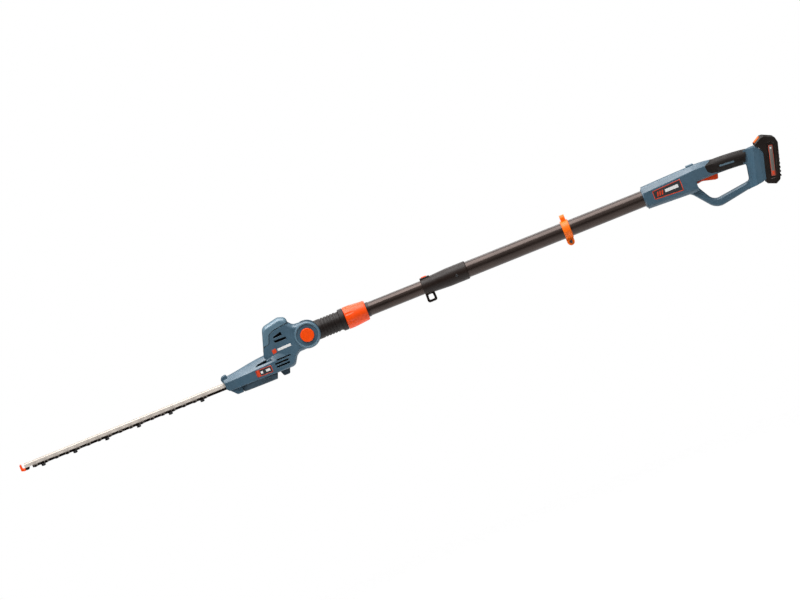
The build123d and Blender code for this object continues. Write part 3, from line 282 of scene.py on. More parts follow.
@dataclass(frozen=True)
class Moulding:
    """Moulded plastic: an eroded grain, slight mottle, edges lightened in patches partly as scuffs and partly
    as a painted highlight and, if asked, a parting line.
    """

    name: str
    colour: Colour
    roughness: float = 0.42
    grain: float = 1500.0
    depth: float = 0.00002
    wear_and_highlight: Colour | None = None
    edge: float = 0.0006
    parting: bool = False
    sheen: float = 0.0
    gloss: float = 0.4

    def make(self) -> Material:
        """Build the material.

        Returns:
            The material.
        """
        paint = Paint(self.name)
        shade = tuple(0.82 * part for part in self.colour)
        colour = paint.blend(paint.spread(paint.noise(14.0, 4.0), 0.0, 1.0), self.colour, shade)
        normal, rim = paint.edges(self.edge)
        # Painted highlight and wear: sharp edges are blended in patches towards a lighter colour, standing
        # partly for scuffs and partly for the light that edges catch.
        wear_and_highlight = self.wear_and_highlight or tuple(min(1.0, 1.35 * part + 0.01) for part in self.colour)
        edge_patches = paint.spread(paint.noise(420.0, 5.0), 0.1, 0.55)
        colour = paint.blend(paint.calculate("MULTIPLY", rim, edge_patches), colour, wear_and_highlight)
        fine = paint.noise(self.grain, 2.0)
        rough = paint.spread(paint.noise(60.0, 5.0), self.roughness - 0.06, self.roughness + 0.1)
        normal = paint.relief(fine, self.depth, 0.5, normal)
        if self.parting:
            offset = paint.calculate("ABSOLUTE", paint.axis(1), 0.0)
            line = paint.spread(offset, 1.0, 0.0, 0.00012, 0.0004)
            colour = paint.blend(line, colour, tuple(0.25 * part for part in self.colour))
        paint.shade(colour, rough, normal)
        paint.shader.inputs["Specular IOR Level"].default_value = self.gloss
        if self.sheen:
            paint.shader.inputs["Sheen Weight"].default_value = self.sheen
            paint.shader.inputs["Sheen Roughness"].default_value = 0.5
        return paint.material


@dataclass(frozen=True)
class Metal:
    """Bare or anodised metal with drawing lines, handling marks and brighter edges."""

    name: str
    colour: Colour
    dark: Colour
    roughness: float = 0.32
    metallic: float = 1.0
    lines: Direction = Direction.NONE
    depth: float = 0.00002
    edge: float = 0.0004
    bright: float = 1.5

    def make(self) -> Material:
        """Build the material.

        Returns:
            The material.
        """
        paint = Paint(self.name)
        lines = paint.noise(1.0, 3.0, self.lines.value)
        marks = paint.noise(22.0, 6.0)
        colour = paint.blend(paint.spread(marks, 0.0, 1.0), self.colour, self.dark)
        colour = paint.blend(paint.spread(lines, 0.0, 0.45), colour, self.dark)
        normal, rim = paint.edges(self.edge)
        bright = tuple(min(1.0, self.bright * part) for part in self.colour)
        colour = paint.blend(paint.calculate("MULTIPLY", rim, 0.6), colour, bright)
        rough = paint.spread(lines, self.roughness - 0.06, self.roughness + 0.08)
        paint.shade(colour, rough, paint.relief(lines, self.depth, 0.35, normal))
        paint.shader.inputs["Metallic"].default_value = self.metallic
        return paint.material


@dataclass(frozen=True)
class Ground:
    """Blackened steel with bright faces wherever it is ground at a slant."""

    name: str
    colour: Colour
    bright: Colour

    def make(self) -> Material:
        """Build the material.

        Returns:
            The material.
        """
        paint = Paint(self.name)
        lines = paint.noise(1.0, 3.0, Direction.LENGTHWISE.value)
        colour = paint.blend(paint.spread(lines, 0.0, 1.0), self.colour, tuple(0.6 * c for c in self.colour))
        parts = paint.tree.nodes.new("ShaderNodeSeparateXYZ")
        coordinates = paint.tree.nodes.new("ShaderNodeTexCoord")
        paint.join(coordinates.outputs["Normal"], parts.inputs[0])
        steep = paint.calculate("ABSOLUTE", parts.outputs[2], 0.0)
        above = paint.spread(steep, 0.0, 1.0, 0.12, 0.2)
        below = paint.spread(steep, 1.0, 0.0, 0.93, 0.97)
        paint.shade(paint.blend(paint.calculate("MULTIPLY", above, below), colour, self.bright),
                    paint.spread(lines, 0.24, 0.42), paint.relief(lines, 0.00002, 0.35, None))
        paint.shader.inputs["Metallic"].default_value = 0.9
        return paint.material


@dataclass(frozen=True)
class Cells:
    """Shrink-wrapped battery cells with a bare steel cap at each end."""

    name: str
    wrap: Colour
    cap: Colour
    reach: float

    def make(self) -> Material:
        """Build the material.

        Returns:
            The material.
        """
        paint = Paint(self.name)
        offset = paint.calculate("ABSOLUTE", paint.axis(1), 0.0)
        ends = paint.spread(offset, 0.0, 1.0, self.reach - 0.0004, self.reach)
        crease = paint.noise(300.0, 4.0)
        wrap = paint.blend(paint.spread(crease, 0.0, 0.6), self.wrap, tuple(0.7 * c for c in self.wrap))
        paint.shade(paint.blend(ends, wrap, self.cap), paint.spread(crease, 0.22, 0.4),
                    paint.relief(crease, 0.00005, 0.4, None))
        return paint.material


@dataclass(frozen=True)
class Board:
    """Circuit board lacquer with tracks, and dark potted parts standing above it."""

    name: str
    lacquer: Colour
    parts: Colour
    level: float

    def make(self) -> Material:
        """Build the material.

        Returns:
            The material.
        """
        paint = Paint(self.name)
        tracks = self.tracks(paint)
        lacquer = paint.blend(tracks, self.lacquer, tuple(1.7 * c for c in self.lacquer))
        above = paint.spread(paint.axis(2), 0.0, 1.0, self.level, self.level + 0.0002)
        paint.shade(paint.blend(above, lacquer, self.parts), paint.spread(tracks, 0.3, 0.42),
                    paint.relief(tracks, 0.00004, 0.5, None))
        return paint.material

    def tracks(self, paint: Paint) -> Socket:
        """Draw the copper tracks under the lacquer.

        Args:
            paint: The material they go on.

        Returns:
            The pattern's socket.
        """
        bricks = paint.tree.nodes.new("ShaderNodeTexBrick")
        bricks.inputs["Scale"].default_value = 260.0
        bricks.inputs["Mortar Size"].default_value = 0.06
        paint.join(paint.place, bricks.inputs["Vector"])
        return bricks.outputs["Fac"]


class Finishes:
    """Every finish on the tool, made once and handed out by name."""

    def __init__(self) -> None:
        """Make the materials."""
        blue = tone(66, 93, 110)
        recipes = [
            Moulding("slate_housing", blue, 0.34, wear_and_highlight=tone(126, 152, 168), parting=True, gloss=0.6),
            Moulding("slate_hood", tone(92, 120, 136), 0.32, wear_and_highlight=tone(150, 172, 186), gloss=0.65),
            Moulding("black_moulding", tone(30, 22, 18), 0.36, wear_and_highlight=tone(84, 72, 64), gloss=0.3),
            Moulding("collar_black", tone(36, 26, 22), 0.38, wear_and_highlight=tone(72, 60, 54), gloss=0.2),
            Moulding("sleeve_black", tone(30, 23, 21), 0.44, 900.0, 0.00008, tone(60, 50, 46), gloss=0.22),
            Moulding("dark_slate", tone(54, 72, 84), 0.46, wear_and_highlight=tone(96, 116, 128)),
            Moulding("orange_moulding", tone(252, 78, 2), 0.34, wear_and_highlight=tone(255, 130, 60), gloss=0.3),
            Moulding("latch_orange", tone(255, 112, 8), 0.36, depth=0.000006, wear_and_highlight=tone(255, 138, 42),
                     gloss=0.3),
            Moulding("trigger_red", tone(255, 74, 4), 0.32, wear_and_highlight=tone(255, 120, 60)),
            Moulding("soft_rubber", tone(28, 21, 18), 0.5, 2600.0, 0.00014, tone(56, 46, 42), gloss=0.25),
            Moulding("inlay_rubber", tone(88, 112, 126), 0.6, 2600.0, 0.0001),
            Moulding("badge_field", tone(44, 46, 50), 0.5, 2600.0, 0.00002),
            Moulding("badge_border", tone(222, 70, 34), 0.35, 2600.0, 0.00001),
            # Painted highlight: a lighter, glossier copy of the black moulding, with still lighter edges, for
            # the battery's bezel rims.
            Moulding("highlit_rim_black", tone(62, 50, 43), 0.3, wear_and_highlight=tone(104, 92, 82), gloss=0.6),
            Moulding("label_grey", tone(116, 110, 104), 0.4, 2600.0, 0.00001),
            Moulding("badge_pale", tone(232, 232, 230), 0.4, 2600.0, 0.00001),
            Moulding("lead_sheath", tone(26, 25, 25), 0.55, 500.0, 0.0001),
            Moulding("nylon_gear", tone(46, 44, 42), 0.45),
            Metal("anodised_tube", tone(66, 54, 49), tone(54, 44, 40), 0.24, 0.6, Direction.LENGTHWISE,
                  0.000002, bright=1.2),
            Metal("bar_alloy", tone(226, 216, 206), tone(208, 198, 188), 0.5, 0.1, Direction.LENGTHWISE,
                  bright=1.0),
            Ground("blade_steel", tone(52, 44, 40), tone(128, 121, 114)),
            Metal("zinc_steel", tone(150, 150, 152), tone(104, 104, 108), 0.3),
            Metal("black_oxide", tone(52, 51, 52), tone(32, 31, 32), 0.38, 0.9),
            Metal("motor_can", tone(70, 70, 73), tone(46, 46, 48), 0.4, 0.9, Direction.ROUND),
            Metal("gear_steel", tone(150, 144, 136), tone(104, 98, 92), 0.34),
            Metal("cast_alloy", tone(164, 166, 170), tone(122, 124, 128), 0.52, 0.9, depth=0.00009),
            Metal("bearing_bronze", tone(176, 128, 74), tone(124, 86, 48), 0.36),
            Metal("contact_brass", tone(220, 178, 96), tone(168, 128, 62), 0.3),
            Cells("wrapped_cells", tone(58, 120, 152), tone(176, 178, 180),
                  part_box("battery_cells")[1].y - 0.001),
            Board("circuit_board", tone(20, 76, 46), tone(22, 22, 24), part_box("control_board")[0].z + 0.0016),
        ]
        self.materials = {recipe.name: recipe.make() for recipe in recipes}

    def get(self, name: str) -> Material:
        """Return the material of that name."""
        return self.materials[name]

    def dress(self, node: str, name: str) -> None:
        """Give a carried-over node its finish.

        Args:
            node: The node's name.
            name: The finish's name.
        """
        mesh = frame["nodes"][node].data
        mesh.materials.clear()
        mesh.materials.append(self.get(name))
        log.info("%s is finished in %s", node, name)

    def dress_all(self, finish_of: dict[str, str]) -> None:
        """Give several nodes their finishes.

        Args:
            finish_of: Each node's name to its finish's name.
        """
        for node, name in finish_of.items():
            self.dress(node, name)

    def piece(self, name: str, work: Faces, finishes: tuple[str, ...], body: str, slot: str) -> None:
        """Close faces into a piece that rides on a body.

        Args:
            name: The piece's name.
            work: Its faces; they are freed.
            finishes: Its finishes, in the order of the faces' material index.
            body: The body it rides on.
            slot: The record's material slot; not used.
        """
        add_piece(name, mesh_of(work, name, [self.get(finish) for finish in finishes]), body)


# ---------------------------------------------------------------- mesh helpers


def add_piece(name: str, mesh: Mesh, body: str) -> bpy.types.Object:
    """Link a finished mesh as a piece that rides on a body.

    Args:
        name: The piece's name.
        mesh: Its mesh, already in place.
        body: The body it rides on.

    Returns:
        The new object.
    """
    piece = bpy.data.objects.new(name, mesh)
    bpy.context.scene.collection.objects.link(piece)
    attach(piece, body)
    log.info("%s made: %d faces, rides on %s", name, len(mesh.polygons), body)
    return piece


def mesh_of(work: Faces, name: str, materials: list[Material],
            smooth_below: float = 35.0) -> Mesh:
    """Close a bmesh into a mesh with outward faces.

    Args:
        work: The faces; it is freed.
        name: The mesh's name.
        materials: The mesh's material slots.
        smooth_below: Edges flatter than this, in degrees, are shaded smooth.

    Returns:
        The mesh.
    """
    bmesh.ops.remove_doubles(work, verts=work.verts, dist=1e-7)
    bmesh.ops.recalc_face_normals(work, faces=work.faces)
    for face in work.faces:
        face.smooth = True
    for edge in work.edges:
        if len(edge.link_faces) == 2 and edge.calc_face_angle(0.0) > math.radians(smooth_below):
            edge.smooth = False
    mesh = bpy.data.meshes.new(name)
    work.to_mesh(mesh)
    work.free()
    for material in materials:
        mesh.materials.append(material)
    return mesh


def rounded_block(size: tuple[float, float, float], radius: float, segments: int = 2) -> Faces:
    """Make a block with rounded edges, centred on the origin.

    Args:
        size: Its length, width and height.
        radius: The edge radius.
        segments: Steps in each rounding.

    Returns:
        The block's bmesh.
    """
    work = bmesh.new()
    bmesh.ops.create_cube(work, size=1.0)
    bmesh.ops.scale(work, vec=size, verts=work.verts)
    bmesh.ops.bevel(work, geom=list(work.edges), offset=radius, segments=segments, profile=0.5,
                    affect="EDGES")
    return work


def add_block(work: Faces, size: Size, radius: float, segments: int, place: Matrix, slot: int = 0) -> None:
    """Add a rounded block to other faces.

    Args:
        work: Takes the block's faces.
        size: Its length, width and height.
        radius: The edge radius.
        segments: Steps in each rounding.
        place: Where it goes and how it is turned.
        slot: The faces' material index.
    """
    block = rounded_block(size, radius, segments)
    for face in block.faces:
        face.material_index = slot
    block.transform(place)
    scratch = bpy.data.meshes.new("block")
    block.to_mesh(scratch)
    block.free()
    work.from_mesh(scratch)
    bpy.data.meshes.remove(scratch)


def join_rings(work: Faces, rings: list[list[bmesh.types.BMVert]], closed: bool = False) -> None:
    """Add the faces between each ring of points and the next.

    Args:
        work: Takes the faces.
        rings: The rings, with the same number of points in each.
        closed: Whether the last ring is joined to the first.
    """
    following = rings[1:] + (rings[:1] if closed else [])
    for low, high in zip(rings, following):
        for index in range(len(low)):
            after = (index + 1) % len(low)
            work.faces.new((low[index], low[after], high[after], high[index]))


def tree_of_node(node: str) -> BVHTree:
    """Take the surface of a carried-over node, for finding points on it.

    Args:
        node: The node's name.

    Returns:
        The surface's search tree.
    """
    mesh = frame["nodes"][node].data
    corners = [vertex.co.copy() for vertex in mesh.vertices]
    return BVHTree.FromPolygons(corners, [tuple(face.vertices) for face in mesh.polygons])


class NodeTree:
    """A Geometry Nodes group under construction."""

    def __init__(self, name: str) -> None:
        """Start an empty group with a geometry input and output.

        Args:
            name: The group's name.
        """
        self.group = bpy.data.node_groups.new(name, "GeometryNodeTree")
        self.sockets: dict[str, str] = {}
        self.group.interface.new_socket(name="Geometry", in_out="INPUT", socket_type="NodeSocketGeometry")
        self.group.interface.new_socket(name="Geometry", in_out="OUTPUT", socket_type="NodeSocketGeometry")
        self.source = self.group.nodes.new("NodeGroupInput")
        self.result = self.group.nodes.new("NodeGroupOutput")

    def size(self, name: str, kind: str) -> Socket:
        """Add a named input.

        Args:
            name: The input's name.
            kind: Its socket type without the NodeSocket prefix.

        Returns:
            The input's socket inside the group.
        """
        item = self.group.interface.new_socket(name=name, in_out="INPUT", socket_type="NodeSocket" + kind)
        self.sockets[name] = item.identifier
        return self.source.outputs[name]

    def node(self, kind: str, links: dict[str, Socket]) -> bpy.types.Node:
        """Add a node and link its inputs.

        Args:
            kind: The node's type without the GeometryNode prefix.
            links: Input name to the socket that feeds it.

        Returns:
            The node.
        """
        node = self.group.nodes.new("GeometryNode" + kind)
        for name, socket in links.items():
            self.group.links.new(socket, node.inputs[name])
        return node

    def close(self, geometry: Socket, material: Socket) -> None:
        """End the group in Realize Instances and Set Material.

        Args:
            geometry: The instances to make real.
            material: The material input's socket.
        """
        real = self.node("RealizeInstances", {"Geometry": geometry})
        painted = self.node("SetMaterial", {"Geometry": real.outputs[0], "Material": material})
        self.group.links.new(painted.outputs[0], self.result.inputs[0])

    def run(self, name: str, base: Mesh, values: dict[str, object]) -> Mesh:
        """Evaluate the group on a mesh and return the plain result.

        Args:
            name: The resulting mesh's name.
            base: The mesh that the modifier sits on.
            values: Input name to its value.

        Returns:
            The plain mesh.
        """
        holder = bpy.data.objects.new(name + "_holder", base)
        bpy.context.scene.collection.objects.link(holder)
        modifier = holder.modifiers.new("rule", "NODES")
        modifier.node_group = self.group
        for key, value in values.items():
            modifier[self.sockets[key]] = value
        bpy.context.view_layer.update()
        graph = bpy.context.evaluated_depsgraph_get()
        mesh = bpy.data.meshes.new_from_object(holder.evaluated_get(graph))
        mesh.name = name
        holder.modifiers.remove(modifier)
        bpy.data.objects.remove(holder)
        return mesh


class Repeater:
    """Sets copies of one small item out in a row or at given points, by Geometry Nodes."""

    def __init__(self) -> None:
        """Build the two groups."""
        self.row = NodeTree("row_of_items")
        item, count = self.row.size("Item", "Object"), self.row.size("Count", "Int")
        start, step = self.row.size("Start", "Vector"), self.row.size("Step", "Vector")
        material = self.row.size("Material", "Material")
        line = self.row.node("MeshLine", {"Count": count, "Start Location": start, "Offset": step})
        self.spread_items(self.row, line.outputs[0], item, material)
        self.spots = NodeTree("items_at_points")
        item, material = self.spots.size("Item", "Object"), self.spots.size("Material", "Material")
        self.spread_items(self.spots, self.spots.source.outputs["Geometry"], item, material)

    @staticmethod
    def spread_items(tree: NodeTree, points: Socket, item: Socket,
                     material: Socket) -> None:
        """Instance the item on points and end the group.

        Args:
            tree: The group.
            points: The points' socket.
            item: The item object's socket.
            material: The material's socket.
        """
        shape = tree.node("ObjectInfo", {"Object": item})
        placed = tree.node("InstanceOnPoints", {"Points": points, "Instance": shape.outputs["Geometry"]})
        tree.close(placed.outputs[0], material)

    @staticmethod
    def item(name: str, mesh: Mesh) -> bpy.types.Object:
        """Link a helper object that holds the item's mesh; it is removed after use.

        Args:
            name: The helper's name.
            mesh: The item.

        Returns:
            The helper.
        """
        holder = bpy.data.objects.new(name, mesh)
        bpy.context.scene.collection.objects.link(holder)
        return holder

    def in_row(self, name: str, mesh: Mesh, count: int, start: Vector, step: Vector,
               material: Material) -> Mesh:
        """Repeat a mesh along a line.

        Args:
            name: The result's name.
            mesh: The item.
            count: Number of items.
            start: The first item's place.
            step: From one item to the next.
            material: The items' finish.

        Returns:
            The plain mesh of all items.
        """
        holder = self.item(name + "_item", mesh)
        base = bpy.data.meshes.new(name + "_base")
        made = self.row.run(name, base, {"Item": holder, "Count": count, "Start": tuple(start),
                                         "Step": tuple(step), "Material": material})
        bpy.data.objects.remove(holder)
        return made

    def at_points(self, name: str, mesh: Mesh, points: list[Vector],
                  material: Material) -> Mesh:
        """Repeat a mesh at given points.

        Args:
            name: The result's name.
            mesh: The item.
            points: Where the items go.
            material: The items' finish.

        Returns:
            The plain mesh of all items.
        """
        holder = self.item(name + "_item", mesh)
        base = bpy.data.meshes.new(name + "_base")
        base.from_pydata([tuple(point) for point in points], [], [])
        made = self.spots.run(name, base, {"Item": holder, "Material": material})
        bpy.data.objects.remove(holder)
        return made


@dataclass
class Inlay:
    """A thin plate laid on the side of a carried-over node, such as a badge's border or field."""

    nodes: tuple[str, ...]
    side: int
    proud: float = 0.00018
    sunk: float = 0.0002
    step: float = 0.004

    def __post_init__(self) -> None:
        """Find the surfaces that the plate follows, and how far out they reach."""
        self.surfaces = [tree_of_node(node) for node in self.nodes]
        self.outermost = max(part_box(node)[1].y for node in self.nodes)

    def surface(self, x: float, z: float) -> float:
        """Return how far out the surface lies at a place on the side, or at the nearest place that has one.

        Args:
            x: Along the tool, in metres.
            z: Up, in metres.

        Returns:
            The y of the surface.
        """
        start = Vector((x, self.side * 0.2, z))
        hits = [tree.ray_cast(start, Vector((0, -self.side, 0)))[0] for tree in self.surfaces]
        found = [hit.y * self.side for hit in hits if hit is not None]
        if not found:
            beside = Vector((x, self.side * self.outermost, z))
            found = [tree.find_nearest(beside)[0].y * self.side for tree in self.surfaces]
        return self.side * max(found)

    def strip(self, work: Faces, corners: Outline, slot: int = 0) -> None:
        """Add one four-sided plate.

        Args:
            work: Takes the faces.
            corners: Four x and z corners in order round the plate.
            slot: The faces' material index.
        """
        a, b, c, d = (Vector(corner) for corner in corners)
        across = max(1, round(max((b - a).length, (c - d).length) / self.step))
        along = max(1, round(max((d - a).length, (c - b).length) / self.step))
        layers = []
        for lift in (self.proud, -self.sunk):
            grid = []
            for i in range(across + 1):
                low, high = a.lerp(b, i / across), d.lerp(c, i / across)
                points = [low.lerp(high, j / along) for j in range(along + 1)]
                grid.append([work.verts.new((p.x, self.surface(p.x, p.y) + self.side * lift, p.y))
                             for p in points])
            layers.append(grid)
        top, under = layers
        faces = []
        for i in range(across):
            for j in range(along):
                for grid in layers:
                    faces.append((grid[i][j], grid[i + 1][j], grid[i + 1][j + 1], grid[i][j + 1]))
        for i in range(across):
            for j in (0, along):
                faces.append((top[i][j], top[i + 1][j], under[i + 1][j], under[i][j]))
        for j in range(along):
            for i in (0, across):
                faces.append((top[i][j], top[i][j + 1], under[i][j + 1], under[i][j]))
        for corner_verts in faces:
            work.faces.new(corner_verts).material_index = slot

    def border(self, work: Faces, outline: Outline, width: float, slot: int = 0) -> None:
        """Add a border just inside a four-cornered outline.

        Args:
            work: Takes the faces.
            outline: Four x and z corners in order.
            width: The border's width.
            slot: The faces' material index.
        """
        middle = Vector((sum(x for x, _ in outline) / 4, sum(z for _, z in outline) / 4))
        inner = []
        for x, z in outline:
            inner.append((x - math.copysign(width, x - middle.x), z - math.copysign(width, z - middle.y)))
        for index in range(4):
            after = (index + 1) % 4
            self.strip(work, [outline[index], outline[after], inner[after], inner[index]], slot)


# ---------------------------------------------------------------- sub-assemblies


@dataclass
class Pole:
    """The two tubes, the collar, the strap ring, the lock ring and the neck."""

    finishes: Finishes
    repeater: Repeater
    cross_arm: float = 0.0034
    cross_width: float = 0.0008

    def build(self) -> None:
        """Dress the nodes and add the screw crosses."""
        self.finishes.dress_all({
            "outer_tube": "anodised_tube", "inner_tube": "anodised_tube", "inner_tube_bush": "black_moulding",
            "supply_lead_coil": "lead_sheath", "supply_lead_straight": "lead_sheath",
            "collar": "collar_black", "collar_bush": "black_moulding", "collar_screws": "zinc_steel",
            "strap_eyelet": "black_moulding", "telescope_button": "orange_moulding",
            "telescope_button_spring": "zinc_steel", "strap_ring": "latch_orange",
            "strap_fastener": "zinc_steel", "ferrule": "black_moulding", "neck_knuckle": "black_moulding",
            "neck_sleeve": "sleeve_black", "lock_ring": "orange_moulding", "tilt_spring": "zinc_steel",
        })
        self.crosses()

    def crosses(self) -> None:
        """Add dark cross plates on the collar's two screws, painting the shade inside their driver recesses."""
        low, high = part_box("collar_screws")
        middle = (low + high) / 2
        work = bmesh.new()
        for length, height in ((self.cross_arm, self.cross_width), (self.cross_width, self.cross_arm)):
            add_block(work, (length, 0.0006, height), 0.0001, 1, Matrix())
        item = mesh_of(work, "cross", [])
        points = [Vector((middle.x, y, middle.z)) for y in (low.y + 0.0001, high.y - 0.0001)]
        # Painted shade: the dark plates stand for the shadowed driver recesses.
        mesh = self.repeater.at_points("collar_screw_crosses", item, points, self.finishes.get("black_oxide"))
        add_piece("collar_screw_crosses", mesh, "pole_body")


@dataclass
class Head:
    """The tilting motor head: shells, hood, vents, badges, cover and drive."""

    finishes: Finishes
    repeater: Repeater
    border_width: float = 0.0011
    gasket_half: float = 0.0302
    gasket_thickness: float = 0.0011
    boss_face: float = 0.033
    bead_radius: float = 0.0254
    bead_width: float = 0.0019
    bead_height: float = 0.0012
    bead_sunk: float = 0.0007
    bead_steps: int = 64
    bead_sides: int = 10
    gasket_lap: float = 0.0004
    screen_length: float = 0.044
    screen_height: float = 0.060
    screen_behind_pivot: float = 0.065
    screen_y: float = 0.0262
    screen_z: float = -0.001

    def build(self) -> None:
        """Dress the nodes and add the gasket, badges, marks and screens."""
        self.finishes.dress_all({
            "head_shell_near": "slate_housing", "head_shell_far": "slate_housing",
            "head_nameplates": "badge_field", "head_screws": "black_oxide", "motor_cap": "slate_hood",
            "lower_gear_cover": "dark_slate", "rest_foot": "dark_slate", "motor": "motor_can",
            "gear_case": "cast_alloy", "crank_bearings": "bearing_bronze", "crank_gear": "gear_steel",
            "crankshaft": "gear_steel", "rotor": "gear_steel", "motor_pinion": "gear_steel",
            "tilt_button": "orange_moulding", "tilt_lock_gear": "nylon_gear", "tilt_axle": "zinc_steel",
            "tilt_cap": "black_moulding", "tip_plate": "black_moulding", "tip_guard": "orange_moulding",
        })
        self.pivot = (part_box("tilt_axle")[0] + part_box("tilt_axle")[1]) / 2
        self.hood_gasket()
        self.boss_beads()
        self.badges()
        self.side_marks()
        self.dust_screens()

    def badges(self) -> None:
        """Add the border, the orange end and two pale blocks of the nose badges."""
        low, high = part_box("head_nameplates")
        work = bmesh.new()
        outline = [(low.x, low.z), (high.x, low.z), (high.x, high.z), (low.x, high.z)]
        length, height = high.x - low.x, high.z - low.z
        for side in (-1, 1):
            inlay = Inlay(("head_nameplates",), side)
            inlay.border(work, outline, self.border_width, 0)
            inlay.strip(work, self.part(low, length, height, 0.05, 0.23, 0.1, 0.9), 0)
            inlay.strip(work, self.part(low, length, height, 0.28, 0.42, 0.32, 0.68), 1)
            inlay.strip(work, self.part(low, length, height, 0.62, 0.88, 0.32, 0.68), 1)
        self.finishes.piece("nose_badge_trim", work, ("badge_border", "badge_pale"), "head", "orange_plastic")

    @staticmethod
    def part(low: Vector, length: float, height: float, x0: float, x1: float, z0: float,
             z1: float) -> Outline:
        """Return a rectangle given as shares of a badge's length and height."""
        return [(low.x + x0 * length, low.z + z0 * height), (low.x + x1 * length, low.z + z0 * height),
                (low.x + x1 * length, low.z + z1 * height), (low.x + x0 * length, low.z + z1 * height)]

    def hood_gasket(self) -> None:
        """Add the dark gasket that fills the seam under the motor hood."""
        path = [(-0.0973, 0.00975), (-0.0864, 0.0117), (-0.0835, 0.0136), (-0.0780, 0.0282),
                (-0.0752, 0.0318), (-0.0645, 0.0360), (-0.0610, 0.0369), (-0.0315, 0.0407)]
        work = bmesh.new()
        for (x0, z0), (x1, z1) in zip(path, path[1:]):
            length = math.hypot(x1 - x0, z1 - z0)
            turn = Matrix.Rotation(-math.atan2(z1 - z0, x1 - x0), 4, "Y")
            place = Matrix.Translation(self.pivot + Vector(((x0 + x1) / 2, -self.pivot.y, (z0 + z1) / 2)))
            size = (length + self.gasket_lap, 2 * self.gasket_half, self.gasket_thickness)
            add_block(work, size, 0.0002, 1, place @ turn)
        self.finishes.piece("hood_gasket", work, ("black_moulding",), "head", "black_plastic")

    def boss_beads(self) -> None:
        """Add the rounded bead round the face of each tilt boss."""
        work = bmesh.new()
        for side in (-1, 1):
            rings = []
            for step in range(self.bead_steps):
                angle = 2 * math.pi * step / self.bead_steps
                ring = []
                for turn in range(self.bead_sides):
                    tilt = 2 * math.pi * turn / self.bead_sides
                    radius = self.bead_radius + self.bead_width * math.cos(tilt)
                    y = side * (self.boss_face - self.bead_sunk + self.bead_height * math.sin(tilt))
                    ring.append(work.verts.new((self.pivot.x + radius * math.cos(angle), y,
                                                self.pivot.z + radius * math.sin(angle))))
                rings.append(ring)
            join_rings(work, rings, closed=True)
        self.finishes.piece("tilt_boss_beads", work, ("slate_hood",), "head", "blue_plastic")

    def side_marks(self) -> None:
        """Add the plain orange square and pale bar on each flank of the motor body."""
        pivot = self.pivot
        work = bmesh.new()
        for side in (-1, 1):
            inlay = Inlay(("head_shell_near", "head_shell_far"), side)
            x, z = pivot.x - 0.083, pivot.z - 0.0115
            inlay.strip(work, [(x, z), (x + 0.009, z + 0.0015), (x + 0.009, z + 0.0105), (x, z + 0.009)], 0)
            x, z = x + 0.012, z + 0.0025
            inlay.strip(work, [(x, z), (x + 0.031, z + 0.001), (x + 0.031, z + 0.0065), (x, z + 0.0055)], 1)
        self.finishes.piece("head_side_marks", work, ("badge_border", "badge_pale"), "head", "orange_plastic")

    def dust_screens(self) -> None:
        """Add a fine wire screen behind the vents on each side, above the crank gear."""
        tree = NodeTree("woven_screen")
        length, height = tree.size("Length", "Float"), tree.size("Height", "Float")
        columns, rows = tree.size("Columns", "Int"), tree.size("Rows", "Int")
        wire, material = tree.size("Wire radius", "Float"), tree.size("Material", "Material")
        grid = tree.node("MeshGrid", {"Size X": length, "Size Y": height, "Vertices X": columns,
                                      "Vertices Y": rows})
        lines = tree.node("MeshToCurve", {"Mesh": grid.outputs[0]})
        ring = tree.node("CurvePrimitiveCircle", {"Radius": wire})
        ring.inputs["Resolution"].default_value = 4
        woven = tree.node("CurveToMesh", {"Curve": lines.outputs[0], "Profile Curve": ring.outputs[0]})
        tree.close(woven.outputs[0], material)
        mesh = tree.run("dust_screens", bpy.data.meshes.new("screen_base"), {
            "Length": self.screen_length, "Height": self.screen_height, "Columns": 16, "Rows": 21,
            "Wire radius": 0.00035,
            "Material": self.finishes.get("black_oxide")})
        work = bmesh.new()
        for side in (-1, 1):
            placed = mesh.copy()
            middle = Vector((self.pivot.x - self.screen_behind_pivot, side * self.screen_y, self.screen_z))
            placed.transform(Matrix.Translation(middle) @ Matrix.Rotation(math.pi / 2, 4, "X"))
            work.from_mesh(placed)
        self.finishes.piece("dust_screens", work, ("black_oxide",), "head", "steel")


